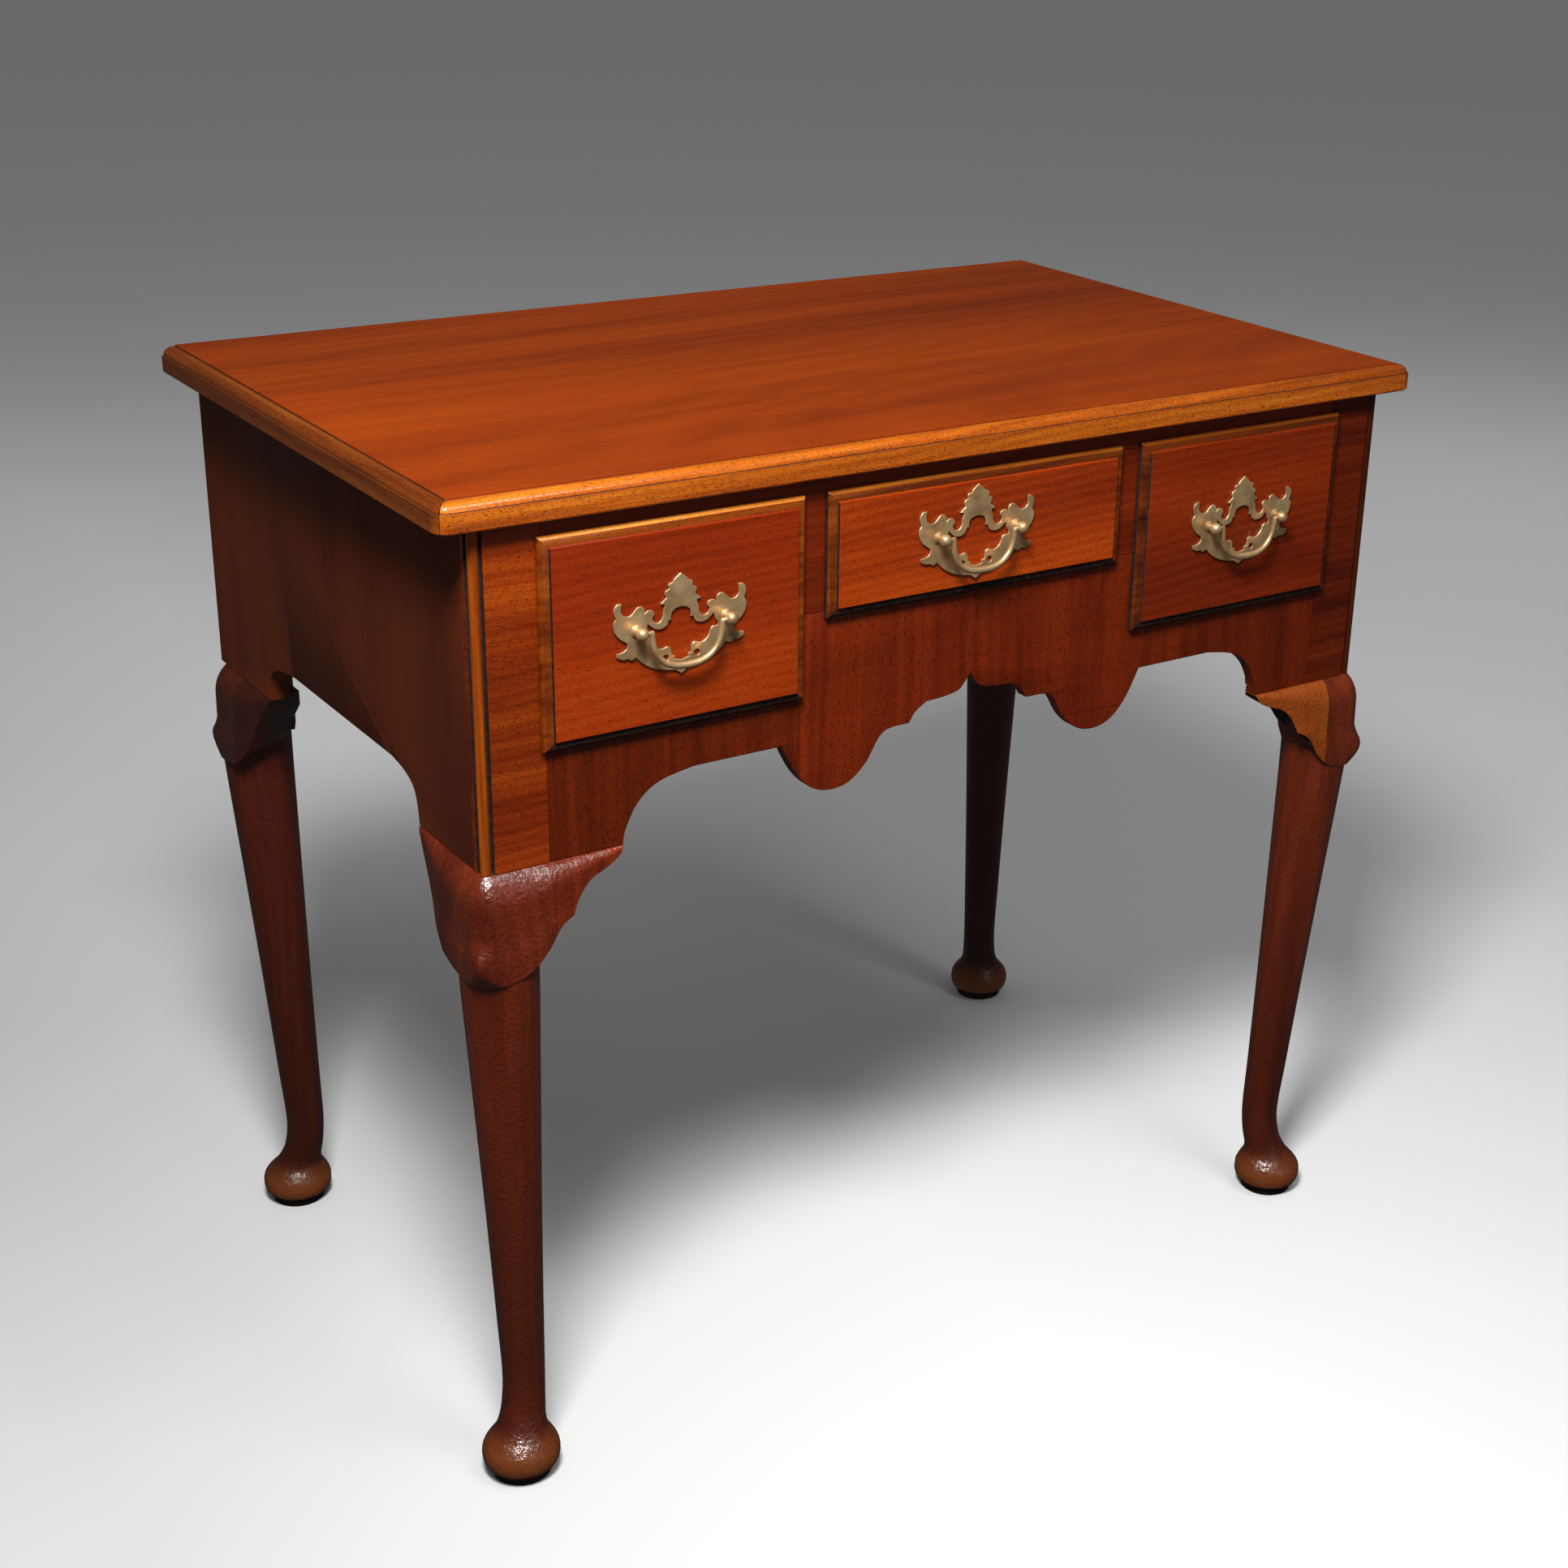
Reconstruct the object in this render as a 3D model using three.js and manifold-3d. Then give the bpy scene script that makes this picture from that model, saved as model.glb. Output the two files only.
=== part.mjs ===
// A mahogany lowboy: a side table with three drawers over a scrolled apron, on four offset turned legs.
// Millimetres. +X is the right-hand side, +Y the back, +Z up, and the floor is at zero.
import * as THREE from 'three';
import { mergeVertices } from 'three/addons/utils/BufferGeometryUtils.js';
import Module from 'manifold-3d';

const wasm = await Module();
wasm.setup();

// Overall sizes
const totalHeight = 715;
const topWidth = 790.5;
const topDepth = 476.5;
const topThickness = 19.5;

// Case
const caseHeight = 225.9;
const sideSetback = 24.25;
const frontSetback = 11.2;
const backSetback = 1.2;
const sideThickness = 16;
const stileWidth = 46.2;
const stileThickness = 13.4;
const railThickness = 20;
const backThickness = 12;
const backDrop = 195;

// Fits
const jointGap = 0.3;
const runGap = 1;
const slideGap = 0.4;
const cutOverrun = 2;
const tinyRadius = 0.4;
const weldDistance = 0.0001;
const samePoint = 0.000001;

// Drawers: sizes of the lipped fronts
const lipOverlap = 4;
const lipTopDrop = 30.9;
const centreFrontWidth = 244.4;
const centreFrontHeight = 85.6;
const sideFrontHeight = 138.7;
const frontSpacing = 17;
const frontPlugDepth = 18;
const boxSideThickness = 9;
const boxBackThickness = 9;
const boxBottomThickness = 6;
const boxBottomRise = 7;
const boxGrooveDepth = 4;
const boxBackClear = 6;
const boxTopDrop = 3;

// Curves are drawn with this many steps to a spline span and to a quarter turn
const spanSteps = 2;
const quarterSteps = 6;

const half = topWidth / 2;
const caseHalf = half - sideSetback;
const frontY = -topDepth / 2 + frontSetback;
const backY = topDepth / 2 - backSetback;
const topUnder = totalHeight - topThickness;
const kneeTop = topUnder - caseHeight;
const seatZ = kneeTop + jointGap;
const caseTop = topUnder - jointGap;

// Materials
const wood = (color, roughness) => new THREE.MeshStandardMaterial({ color, roughness, metalness: 0 });
const topWood = wood('#8a3510', 0.35);
const edgeWood = wood('#9c5214', 0.4);
const frontWood = wood('#7a2c10', 0.4);
const drawerWood = wood('#8f3610', 0.4);
const sideWood = wood('#5a2c1a', 0.45);
const legWood = wood('#5e2412', 0.35);
const earWood = wood('#6b2b12', 0.35);
const innerWood = wood('#a98254', 0.75);
const frameWood = wood('#996e42', 0.8);
const brass = new THREE.MeshStandardMaterial({ color: '#94794a', roughness: 0.38, metalness: 1 });

// Solids

function toSolid(geometry) {
  const bare = geometry.clone();
  bare.deleteAttribute('normal');
  bare.deleteAttribute('uv');
  const merged = mergeVertices(bare, weldDistance);
  const mesh = new wasm.Mesh({
    numProp: 3,
    vertProperties: new Float32Array(merged.attributes.position.array),
    triVerts: new Uint32Array(merged.index.array),
  });
  return new wasm.Manifold(mesh);
}

function toGeometry(solid) {
  const mesh = solid.getMesh();
  const geometry = new THREE.BufferGeometry();
  geometry.setAttribute('position', new THREE.BufferAttribute(new Float32Array(mesh.vertProperties), 3));
  geometry.setIndex(new THREE.BufferAttribute(new Uint32Array(mesh.triVerts), 1));
  return geometry;
}

// A board between two opposite corners
function board(x0, x1, y0, y1, z0, z1) {
  const geometry = new THREE.BoxGeometry(Math.abs(x1 - x0), Math.abs(y1 - y0), z1 - z0);
  return geometry.translate((x0 + x1) / 2, (y0 + y1) / 2, (z0 + z1) / 2);
}

// Outlines may be listed either way round: an anticlockwise one is what its holes expect
function shapeOf(points) {
  const vectors = points.map(([a, b]) => new THREE.Vector2(a, b));
  return new THREE.Shape(THREE.ShapeUtils.isClockWise(vectors) ? vectors.reverse() : vectors);
}

function extrude(points, depth, holes = []) {
  const shape = shapeOf(points);
  shape.holes = holes.map(shapeOf);
  return new THREE.ExtrudeGeometry(shape, { depth, bevelEnabled: false });
}

// An outline of [x, z] points, cut from a board that runs from y0 to y1
function alongY(points, y0, y1, holes = []) {
  return extrude(points, y1 - y0, holes).rotateX(Math.PI / 2).translate(0, y1, 0);
}

// An outline of [y, z] points, cut from a board between x0 and x1
function alongX(points, x0, x1) {
  const turn = new THREE.Matrix4().makeBasis(
    new THREE.Vector3(0, 1, 0), new THREE.Vector3(0, 0, 1), new THREE.Vector3(1, 0, 0));
  return extrude(points, Math.abs(x1 - x0)).applyMatrix4(turn).translate(Math.min(x0, x1), 0, 0);
}

// An outline of [x, y] points, standing from z0 to z1
const alongZ = (points, z0, z1) => extrude(points, z1 - z0).translate(0, 0, z0);

// A closed skin over loops of equal point counts, capped at both ends or joined into a ring
function skin(loops, ring = false) {
  const count = loops[0].length;
  const points = loops.flat();
  const triangles = [];
  const bands = ring ? loops.length : loops.length - 1;
  for (let i = 0; i < bands; i++) {
    const low = i * count;
    const high = ((i + 1) % loops.length) * count;
    for (let j = 0; j < count; j++) {
      const k = (j + 1) % count;
      triangles.push(low + j, low + k, high + k, low + j, high + k, high + j);
    }
  }
  if (!ring) {
    const last = (loops.length - 1) * count;
    for (let j = 1; j < count - 1; j++) {
      triangles.push(0, j + 1, j);
      triangles.push(last, last + j, last + j + 1);
    }
  }
  const geometry = new THREE.BufferGeometry();
  geometry.setAttribute('position', new THREE.Float32BufferAttribute(points.flat(), 3));
  geometry.setIndex(triangles);
  return geometry;
}

// Turns a skin made in a mirrored frame the right way out
function flipped(geometry) {
  const index = geometry.index.array;
  for (let i = 0; i < index.length; i += 3) [index[i], index[i + 1]] = [index[i + 1], index[i]];
  return geometry;
}

// Curves

// Runs of points: a run of two is a straight line, a longer one is a smooth curve through them all
function trace(runs, scaleA, scaleB) {
  const points = [];
  for (const run of runs) {
    const knots = run.map(([a, b]) => new THREE.Vector2(a * scaleA, b * scaleB));
    const steps = run.length > 2 ? (run.length - 1) * spanSteps : 1;
    const curve = run.length > 2 ? new THREE.SplineCurve(knots) : new THREE.LineCurve(knots[0], knots[1]);
    for (const p of curve.getPoints(steps)) points.push([p.x, p.y]);
  }
  const apart = (p, q) => Math.hypot(p[0] - q[0], p[1] - q[1]) > samePoint;
  return points.filter((p, i) => i === 0 || apart(p, points[i - 1]));
}

const mirrored = (points) => points.map(([a, b]) => [-a, b]).reverse();

// A rounded rectangle from (a0, b0) to (a1, b1), with a radius for each corner, anticlockwise
function roundedLoop(a0, a1, b0, b1, radii, steps) {
  const corners = [
    [a0, b0, 1, 1, Math.PI], [a1, b0, -1, 1, 1.5 * Math.PI],
    [a1, b1, -1, -1, 0], [a0, b1, 1, -1, 0.5 * Math.PI]];
  return corners.flatMap(([a, b, ia, ib, start], c) => Array.from({ length: steps + 1 }, (_, j) => {
    const angle = start + (j / steps) * Math.PI / 2;
    const r = radii[c];
    return [a + ia * r + r * Math.cos(angle), b + ib * r + r * Math.sin(angle)];
  }));
}

// The model

const model = new THREE.Group();

function add(name, geometry, material, parent = model) {
  const mesh = new THREE.Mesh(geometry, material);
  mesh.name = name;
  parent.add(mesh);
  return mesh;
}

// Top board and its edge moulding: an ovolo over a fillet and an upright face

const mouldWidth = 10.3;
const mouldFaceDrop = 6.9;
const mouldFilletWidth = 1.3;
const mouldQuirk = 0.6;
const mouldStepDown = 0.8;
const mouldStepWidth = 0.9;
const mouldEase = 1.2;
const planRadius = 10;

function topEdgeProfile() {
  const ovoloWidth = mouldWidth - mouldStepWidth - mouldFilletWidth;
  const ovoloRise = mouldFaceDrop - mouldQuirk - mouldStepDown;
  const ovolo = Array.from({ length: quarterSteps + 1 }, (_, i) => {
    const angle = (i / quarterSteps) * Math.PI / 2;
    return [mouldFilletWidth + ovoloWidth * (1 - Math.cos(angle)),
      totalHeight - mouldFaceDrop + mouldQuirk + ovoloRise * Math.sin(angle)];
  });
  return [
    [mouldWidth, topUnder],
    [mouldEase, topUnder],
    [0, topUnder + mouldEase],
    [0, totalHeight - mouldFaceDrop],
    [mouldFilletWidth, totalHeight - mouldFaceDrop],
    ...ovolo,
    [mouldWidth, totalHeight - mouldStepDown],
  ];
}

function topMouldings() {
  const reach = topDepth / 2 + planRadius + mouldWidth;
  const loops = topEdgeProfile().map(([inset, z]) => {
    const radius = Math.max(planRadius - inset, tinyRadius);
    const radii = [radius, radius, radius, radius];
    return roundedLoop(inset - half, half - inset, inset - topDepth / 2, reach - inset, radii, quarterSteps)
      .map(([x, y]) => [x, y, z]);
  });
  const ring = toSolid(skin(loops, true));
  const out = half + cutOverrun;
  const inner = half - mouldWidth - cutOverrun;
  const front = -topDepth / 2;
  const low = topUnder - cutOverrun;
  const high = totalHeight + cutOverrun;
  const mitre = mouldWidth + cutOverrun;
  const frontCut = [
    [-out + jointGap, front - cutOverrun], [out - jointGap, front - cutOverrun],
    [inner - jointGap, front + mitre], [-inner + jointGap, front + mitre]];
  const sideCut = [
    [inner, front + mitre + jointGap], [out, front - cutOverrun + jointGap],
    [out, topDepth / 2], [inner, topDepth / 2]];
  const cut = (points) => toGeometry(ring.intersect(toSolid(alongZ(points, low, high))));
  add('top_moulding_front', cut(frontCut), edgeWood);
  add('top_moulding_right', cut(sideCut), edgeWood);
  add('top_moulding_left', cut(mirrored(sideCut)), edgeWood);
}

function topBoard() {
  const edge = half - mouldWidth - jointGap;
  const front = -topDepth / 2 + mouldWidth + jointGap;
  add('top_board', board(-edge, edge, front, topDepth / 2, topUnder, totalHeight), topWood);
}

topBoard();
topMouldings();

// Openings of the drawers in the front frame

const openTop = totalHeight - lipTopDrop - lipOverlap;
const centreOpenHalf = centreFrontWidth / 2 - lipOverlap;
const centreOpenLow = totalHeight - lipTopDrop - centreFrontHeight + lipOverlap;
const sideOpenIn = centreFrontWidth / 2 + frontSpacing + lipOverlap;
const sideOpenOut = caseHalf - stileWidth;
const sideOpenLow = totalHeight - lipTopDrop - sideFrontHeight + lipOverlap;
const frameBackY = frontY + railThickness;

// Front apron: a pointed arch between two deep lobes, and a wide arch on each side

const frontEarReach = 98.4;
const apronReach = caseHalf - frontEarReach;
const apronRise = 67.8;
const apronShares = [
  [[0, 1], [0.018, 0.898], [0.037, 0.832], [0.081, 0.799], [0.132, 0.788]],
  [[0.132, 0.788], [0.165, 0.706], [0.185, 0.593]],
  [[0.185, 0.593], [0.231, 0.591]],
  [[0.231, 0.591], [0.257, 0.569], [0.279, 0.493], [0.315, 0.264], [0.365, 0.102], [0.422, 0.065],
    [0.477, 0.139], [0.523, 0.338], [0.563, 0.643]],
  [[0.563, 0.643], [0.807, 0.643]],
  [[0.807, 0.643], [0.899, 0.566], [0.957, 0.404], [0.992, 0.153], [1, 0]],
];

function frontApron() {
  const right = trace(apronShares, apronReach, apronRise).map(([x, z]) => [x, seatZ + z]);
  const outline = [
    ...mirrored(right).slice(0, -1), ...right,
    [sideOpenOut - jointGap, seatZ],
    [sideOpenOut - jointGap, sideOpenLow],
    [sideOpenIn, sideOpenLow],
    [sideOpenIn, centreOpenLow],
    [-sideOpenIn, centreOpenLow],
    [-sideOpenIn, sideOpenLow],
    [-sideOpenOut + jointGap, sideOpenLow],
    [-sideOpenOut + jointGap, seatZ],
  ];
  add('front_apron', alongY(outline, frontY, frameBackY), frontWood);
}

// Top rail over the drawers, and the two uprights between them

function topRail() {
  const reach = sideOpenOut - jointGap;
  add('top_rail', board(-reach, reach, frontY, frameBackY, openTop, caseTop), frontWood);
}

function drawerDivider(name, side) {
  const [x0, x1] = side > 0 ? [centreOpenHalf, sideOpenIn] : [-sideOpenIn, -centreOpenHalf];
  add(name, board(x0, x1, frontY, frameBackY, centreOpenLow + jointGap, openTop - jointGap), frontWood);
}

// Front stile with a bead on the outer corner, sunk between two quirks

const beadRadius = 3.4;
const quirkWidth = 1.6;
const quirkDepth = 2.2;
const beadSteps = 9;

function stile(name, side) {
  const centreX = caseHalf - beadRadius;
  const centreY = frontY + beadRadius;
  const start = Math.asin(quirkDepth / (2 * beadRadius));
  const sweep = 1.5 * Math.PI - 2 * start;
  const bead = Array.from({ length: beadSteps + 1 }, (_, i) => {
    const angle = Math.PI + start + (i / beadSteps) * sweep;
    return [centreX + beadRadius * Math.cos(angle), centreY + beadRadius * Math.sin(angle)];
  });
  const quirkX = caseHalf - 2 * beadRadius - quirkWidth;
  const quirkY = frontY + 2 * beadRadius + quirkWidth;
  const outline = [
    [sideOpenOut, frontY],
    [quirkX, frontY],
    [quirkX + quirkWidth / 2, frontY + quirkDepth],
    ...bead,
    [caseHalf - quirkDepth, quirkY - quirkWidth / 2],
    [caseHalf, quirkY],
    [caseHalf, frontY + stileThickness],
    [sideOpenOut, frontY + stileThickness],
  ];
  add(name, alongZ(side > 0 ? outline : mirrored(outline), seatZ, caseTop), frontWood);
}

// Case sides, each with a flat arch between the knees

const archSpringFront = 96;
const archSpringBack = 102.5;
const archFlatFront = 136;
const archFlatBack = 157;
const archRise = 34.6;
const archShares = [[[0, 0], [0.03, 0.32], [0.11, 0.6], [0.27, 0.785], [0.58, 0.92], [1, 1]]];

function sidePanel(name, side) {
  const archEnd = (spring, flat) => trace(archShares, flat - spring, archRise);
  const front = archEnd(archSpringFront, archFlatFront)
    .map(([y, z]) => [frontY + archSpringFront + y, seatZ + z]);
  const back = archEnd(archSpringBack, archFlatBack)
    .map(([y, z]) => [backY - archSpringBack - y, seatZ + z]).reverse();
  const outline = [
    [frontY + stileThickness + jointGap, seatZ], ...front, ...back,
    [backY, seatZ], [backY, caseTop], [frontY + stileThickness + jointGap, caseTop]];
  add(name, alongX(outline, side * caseHalf, side * (caseHalf - sideThickness)), sideWood);
}

function backBoard() {
  const reach = caseHalf - sideThickness - jointGap;
  const low = caseTop - backDrop;
  add('back_board', board(-reach, reach, backY - backThickness, backY, low, caseTop), frameWood);
}

frontApron();
topRail();
backBoard();
for (const [suffix, side] of [['left', -1], ['right', 1]]) {
  drawerDivider(`drawer_divider_${suffix}`, side);
  stile(`stile_${suffix}`, side);
  sidePanel(`side_panel_${suffix}`, side);
}

// Legs: a knee block with rounded shoulders, a lappet and a nose, a round shaft leaning in to the ankle,
// and a pad foot turned on an outer centre. Insets are from the planes of the case's side and front.

const kneeInner = 43;
const kneeHeight = 73;
const kneeProud = 11.4;
const kneeRadius = 15;
const frontLappetLift = 24;
const sideLappetLift = 8;
const innerLappetLift = 12;
const lappetCurve = 2.9;
const innerRadius = 20;
const shaftTopRadius = 26;
const shaftTopInset = 15.4;
const ankleRadius = 14.8;
const ankleInset = 26;
const ankleHeight = 75;
const footInset = 18.5;
const footRadius = 27.3;
const postInner = 42.5;
const postSink = 10;
const backLegSetback = 7;

// Shares of the knee's height down from its top, of how far it stands proud, and of its corner radius
const kneeShares = [
  [0, 0.03, 0.3], [0.02, 0.2, 0.5], [0.06, 0.4, 0.75], [0.12, 0.6, 0.9], [0.2, 0.77, 1],
  [0.33, 0.88, 1], [0.58, 0.9, 0.95], [0.67, 0.94, 0.65], [0.74, 0.98, 0.3], [0.81, 1, 0.25],
  [0.9, 0.99, 0.6], [1, 0.97, 1.35]];

// Shares of the ankle's height, of the foot's radius, and of the way from the foot's centre to the ankle's
const footShares = [
  [0, 0.76, 0], [0.07, 0.79, 0], [0.085, 0.87, 0], [0.165, 0.985, 0], [0.24, 1, 0], [0.31, 0.95, 0],
  [0.38, 0.84, 0.06], [0.45, 0.71, 0.18], [0.58, 0.58, 0.46]];

// The bearings of a leg's points from its middle, in degrees to each side of its outer corner. The ones at
// a right angle meet the corners beside the ears.
const outerBearing = 225;
const legBearings = [5.5, 11, 16.5, 30, 50, 70, 90, 108, 126, 144, 162];
const legTurns = [...legBearings.map((bearing) => -bearing).reverse(), 0, ...legBearings, 180]
  .map((bearing) => THREE.MathUtils.degToRad(outerBearing + bearing));

const shaftLoop = (inset, radius) => legTurns.map((turn) =>
  [inset + radius * Math.cos(turn), inset + radius * Math.sin(turn)]);

// A square with its outer and inner corners rounded, met by each direction from its middle
function kneeLoop(proud, radius) {
  const middle = (kneeInner - proud) / 2;
  const side = (kneeInner + proud) / 2;
  return legTurns.map((turn) => {
    const [a, b] = [Math.cos(turn), Math.sin(turn)];
    const round = a + b < 0 ? radius : innerRadius;
    const flat = side / Math.max(Math.abs(a), Math.abs(b));
    const straight = side - round;
    const along = Math.abs(a + b) * straight;
    const onArc = a * b > 0 && Math.min(Math.abs(a), Math.abs(b)) * flat > straight;
    const reach = onArc ? along + Math.sqrt(along ** 2 - 2 * straight ** 2 + round ** 2) : flat;
    return [middle + reach * a, middle + reach * b];
  });
}

function legLoops() {
  const loops = footShares.map(([rise, width, way]) => {
    const inset = THREE.MathUtils.lerp(footInset, ankleInset, way);
    return shaftLoop(inset, footRadius * width).map(([a, b]) => [a, b, ankleHeight * rise]);
  });
  loops.push(shaftLoop(ankleInset, ankleRadius).map(([a, b]) => [a, b, ankleHeight]));
  // The lappet's lower edge rises away from the outer corner, and more along the front
  const lift = (a, b) => {
    const [wayA, wayB] = [a, b].map((way) => THREE.MathUtils.clamp(way / kneeInner, 0, 1));
    const front = THREE.MathUtils.lerp(frontLappetLift, innerLappetLift, wayB);
    return Math.max(front * wayA ** lappetCurve, sideLappetLift * wayB ** lappetCurve);
  };
  const lipZ = kneeTop - kneeHeight;
  const [, lipProud, lipRadius] = kneeShares.at(-1);
  const lip = kneeLoop(kneeProud * lipProud, kneeRadius * lipRadius);
  const lipLift = lip.map(([a, b]) => lift(a, b));
  const top = shaftLoop(shaftTopInset, shaftTopRadius);
  loops.push(top.map(([a, b], i) => [a, b, lipZ + lipLift[i]]));
  for (const [drop, proud, radius] of [...kneeShares].reverse()) {
    const loop = kneeLoop(kneeProud * proud, kneeRadius * radius);
    loops.push(loop.map(([a, b], i) => [a, b, kneeTop - kneeHeight * drop + lipLift[i] * drop]));
  }
  return loops;
}

function leg(name, sideX, sideY) {
  const placeX = (a) => sideX * (caseHalf - a);
  const placeY = (b) => (sideY < 0 ? frontY + b : backY - b);
  const setback = sideY < 0 ? 0 : backLegSetback;
  const loops = legLoops().map((loop) => loop.map(([a, b, z]) => [placeX(a), placeY(b + setback), z]));
  const body = skin(loops);
  const turned = toSolid(sideX * sideY > 0 ? body : flipped(body));
  const cover = sideY < 0 ? stileThickness : backThickness;
  const post = toSolid(board(placeX(sideThickness + jointGap), placeX(postInner),
    placeY(cover + jointGap), placeY(postInner), kneeTop - postSink, caseTop));
  add(name, toGeometry(turned.add(post)), legWood);
}

// Knee ears: brackets beside the knee blocks, their faces falling back towards the tip

const earThickness = 24;
const frontSideEarReach = 95;
const backSideEarReach = 101;
const frontEarDrop = 49;
const sideEarDrop = 65;
const earTipProudShare = 0.12;
const frontEarShares = [
  [[0, 1], [0.07, 0.885], [0.15, 0.81], [0.27, 0.75]],
  [[0.27, 0.75], [0.35, 0.56], [0.45, 0.41], [0.57, 0.31], [0.75, 0.24], [0.93, 0.13], [1, 0]],
];
const sideEarShares = [
  [[0, 1], [0.13, 0.93], [0.3, 0.79], [0.44, 0.615], [0.575, 0.453]],
  [[0.575, 0.453], [0.71, 0.323], [0.83, 0.2], [0.905, 0.108], [1, 0]],
];

// An ear in the frame of its own face: u runs away from the corner, v into the case
function earSolid(shares, near, reach, drop) {
  const lower = trace(shares, reach - near, -drop).map(([u, z]) => [near + u, kneeTop + z]);
  const outline = [[near, kneeTop], ...lower];
  const face = toSolid(alongY(outline.reverse(), -kneeProud - cutOverrun, earThickness));
  const section = (u, share) => {
    const front = kneeShares
      .map(([down, proud]) => [u, -kneeProud * proud * share, kneeTop - kneeHeight * down]);
    const low = kneeTop - kneeHeight;
    return [[u, earThickness, kneeTop], ...front, [u, earThickness, low]];
  };
  return face.intersect(toSolid(skin([section(near, 1), section(reach, earTipProudShare)])));
}

function placedEar(name, solid, xAxis, yAxis, origin) {
  const geometry = toGeometry(solid);
  const turn = new THREE.Matrix4().makeBasis(xAxis, yAxis, new THREE.Vector3(0, 0, 1)).setPosition(origin);
  geometry.applyMatrix4(turn);
  add(name, turn.determinant() > 0 ? geometry : flipped(geometry), earWood);
}

for (const [suffix, side] of [['left', -1], ['right', 1]]) {
  leg(`leg_front_${suffix}`, side, -1);
  leg(`leg_back_${suffix}`, side, 1);
  const frontCorner = new THREE.Vector3(side * caseHalf, frontY, 0);
  const backCorner = new THREE.Vector3(side * caseHalf, backY, 0);
  const inward = new THREE.Vector3(-side, 0, 0);
  const back = new THREE.Vector3(0, 1, 0);
  const forward = new THREE.Vector3(0, -1, 0);
  const near = kneeInner + jointGap;
  const frontEar = earSolid(frontEarShares, near, frontEarReach, frontEarDrop);
  const frontSideEar = earSolid(sideEarShares, near, frontSideEarReach, sideEarDrop);
  const backSideEar = earSolid(sideEarShares, near + backLegSetback, backSideEarReach, sideEarDrop);
  placedEar(`knee_ear_front_${suffix}`, frontEar, inward, back, frontCorner);
  placedEar(`knee_ear_front_side_${suffix}`, frontSideEar, back, inward, frontCorner);
  placedEar(`knee_ear_back_side_${suffix}`, backSideEar, forward, inward, backCorner);
}

// Inner frame: a back rail between the back posts, bearers under the drawers, and kickers over them

const backRailThickness = 20;
const backRailRise = 50.4;
const bearerWidth = 30;
const bearerHeight = 16;
const guideWidth = stileWidth - postInner + runGap / 2 - jointGap;
const guideRise = 14;
const kickerWidth = 46;

const innerBackY = backY - backThickness - jointGap - backRailThickness - jointGap;
const innerFrontY = frameBackY + jointGap;
const backRailLow = kneeTop + backRailRise;
const backRailHigh = centreOpenLow + guideRise;

function backRail() {
  const reach = caseHalf - postInner - jointGap;
  const y1 = backY - backThickness - jointGap;
  add('back_rail', board(-reach, reach, y1 - backRailThickness, y1, backRailLow, backRailHigh), frameWood);
}

// A bearer whose guide stands beside the drawer's box: edge is the box's outer face, inward points under it
function bearer(name, edge, inward, topZ) {
  const guideIn = edge - inward * runGap / 2;
  const guideOut = guideIn - inward * guideWidth;
  const low = topZ - bearerHeight;
  const section = [
    [guideOut, low], [guideOut + inward * bearerWidth, low], [guideOut + inward * bearerWidth, topZ],
    [guideIn, topZ], [guideIn, topZ + guideRise], [guideOut, topZ + guideRise]];
  const outline = inward > 0 ? section : section.reverse();
  add(name, alongY(outline, innerFrontY, innerBackY), frameWood);
}

backRail();
for (const [suffix, side] of [['left', -1], ['right', 1]]) {
  bearer(`bearer_${suffix}_outer`, side * (sideOpenOut - runGap), -side, sideOpenLow);
  bearer(`bearer_${suffix}_inner`, side * (sideOpenIn + runGap), side, sideOpenLow);
  bearer(`bearer_centre_${suffix}`, side * (centreOpenHalf - runGap), -side, centreOpenLow);
  const x = (side * (centreOpenHalf + sideOpenIn) - kickerWidth) / 2;
  add(`kicker_${suffix}`, board(x, x + kickerWidth, innerFrontY, innerBackY, openTop, caseTop), frameWood);
}

// Drawers: a lipped front with a thumb moulding round a raised field, and a box of thin boards

const lipThickness = 2.6;
const thumbWidth = 6.6;
const thumbRise = 3.2;
const fieldStep = 1.8;
const fieldStepWidth = 0.5;
const frontProud = jointGap + lipThickness + thumbRise + fieldStep;

// Handles: a pierced plate, two ball posts and a hanging bail
const plateThickness = 1.5;
const plateHalfWidth = 47.6;
const plateTop = 34.6;
const postSpacing = 64;
const centreHandleShift = 6;
const postRise = 1.8;
const postStandOff = 8;
const ballRadius = 4.3;
const neckRadius = 2.5;
const collarRadius = 4.2;
const collarHeight = 1.6;
const shankRadius = 2;
const shankClear = 0.3;
const bailRadius = 2.1;
const pinRadius = 1.4;
const pinClear = 0.2;
const bailDrop = 25;
const bailHalf = postSpacing / 2 - ballRadius - jointGap - bailRadius;
const bailSides = 8;
const bailSteps = 20;
const ballSteps = 7;
const holeSteps = 10;

const plateFace = frontY - frontProud - jointGap - plateThickness;
const pivotY = plateFace - postStandOff;

const circle = (a, b, radius, steps) => Array.from({ length: steps }, (_, i) => {
  const angle = (i / steps) * 2 * Math.PI;
  return [a + radius * Math.cos(angle), b + radius * Math.sin(angle)];
});

const postsOf = (x, z) => [[x - postSpacing / 2, z + postRise], [x + postSpacing / 2, z + postRise]];

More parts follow.
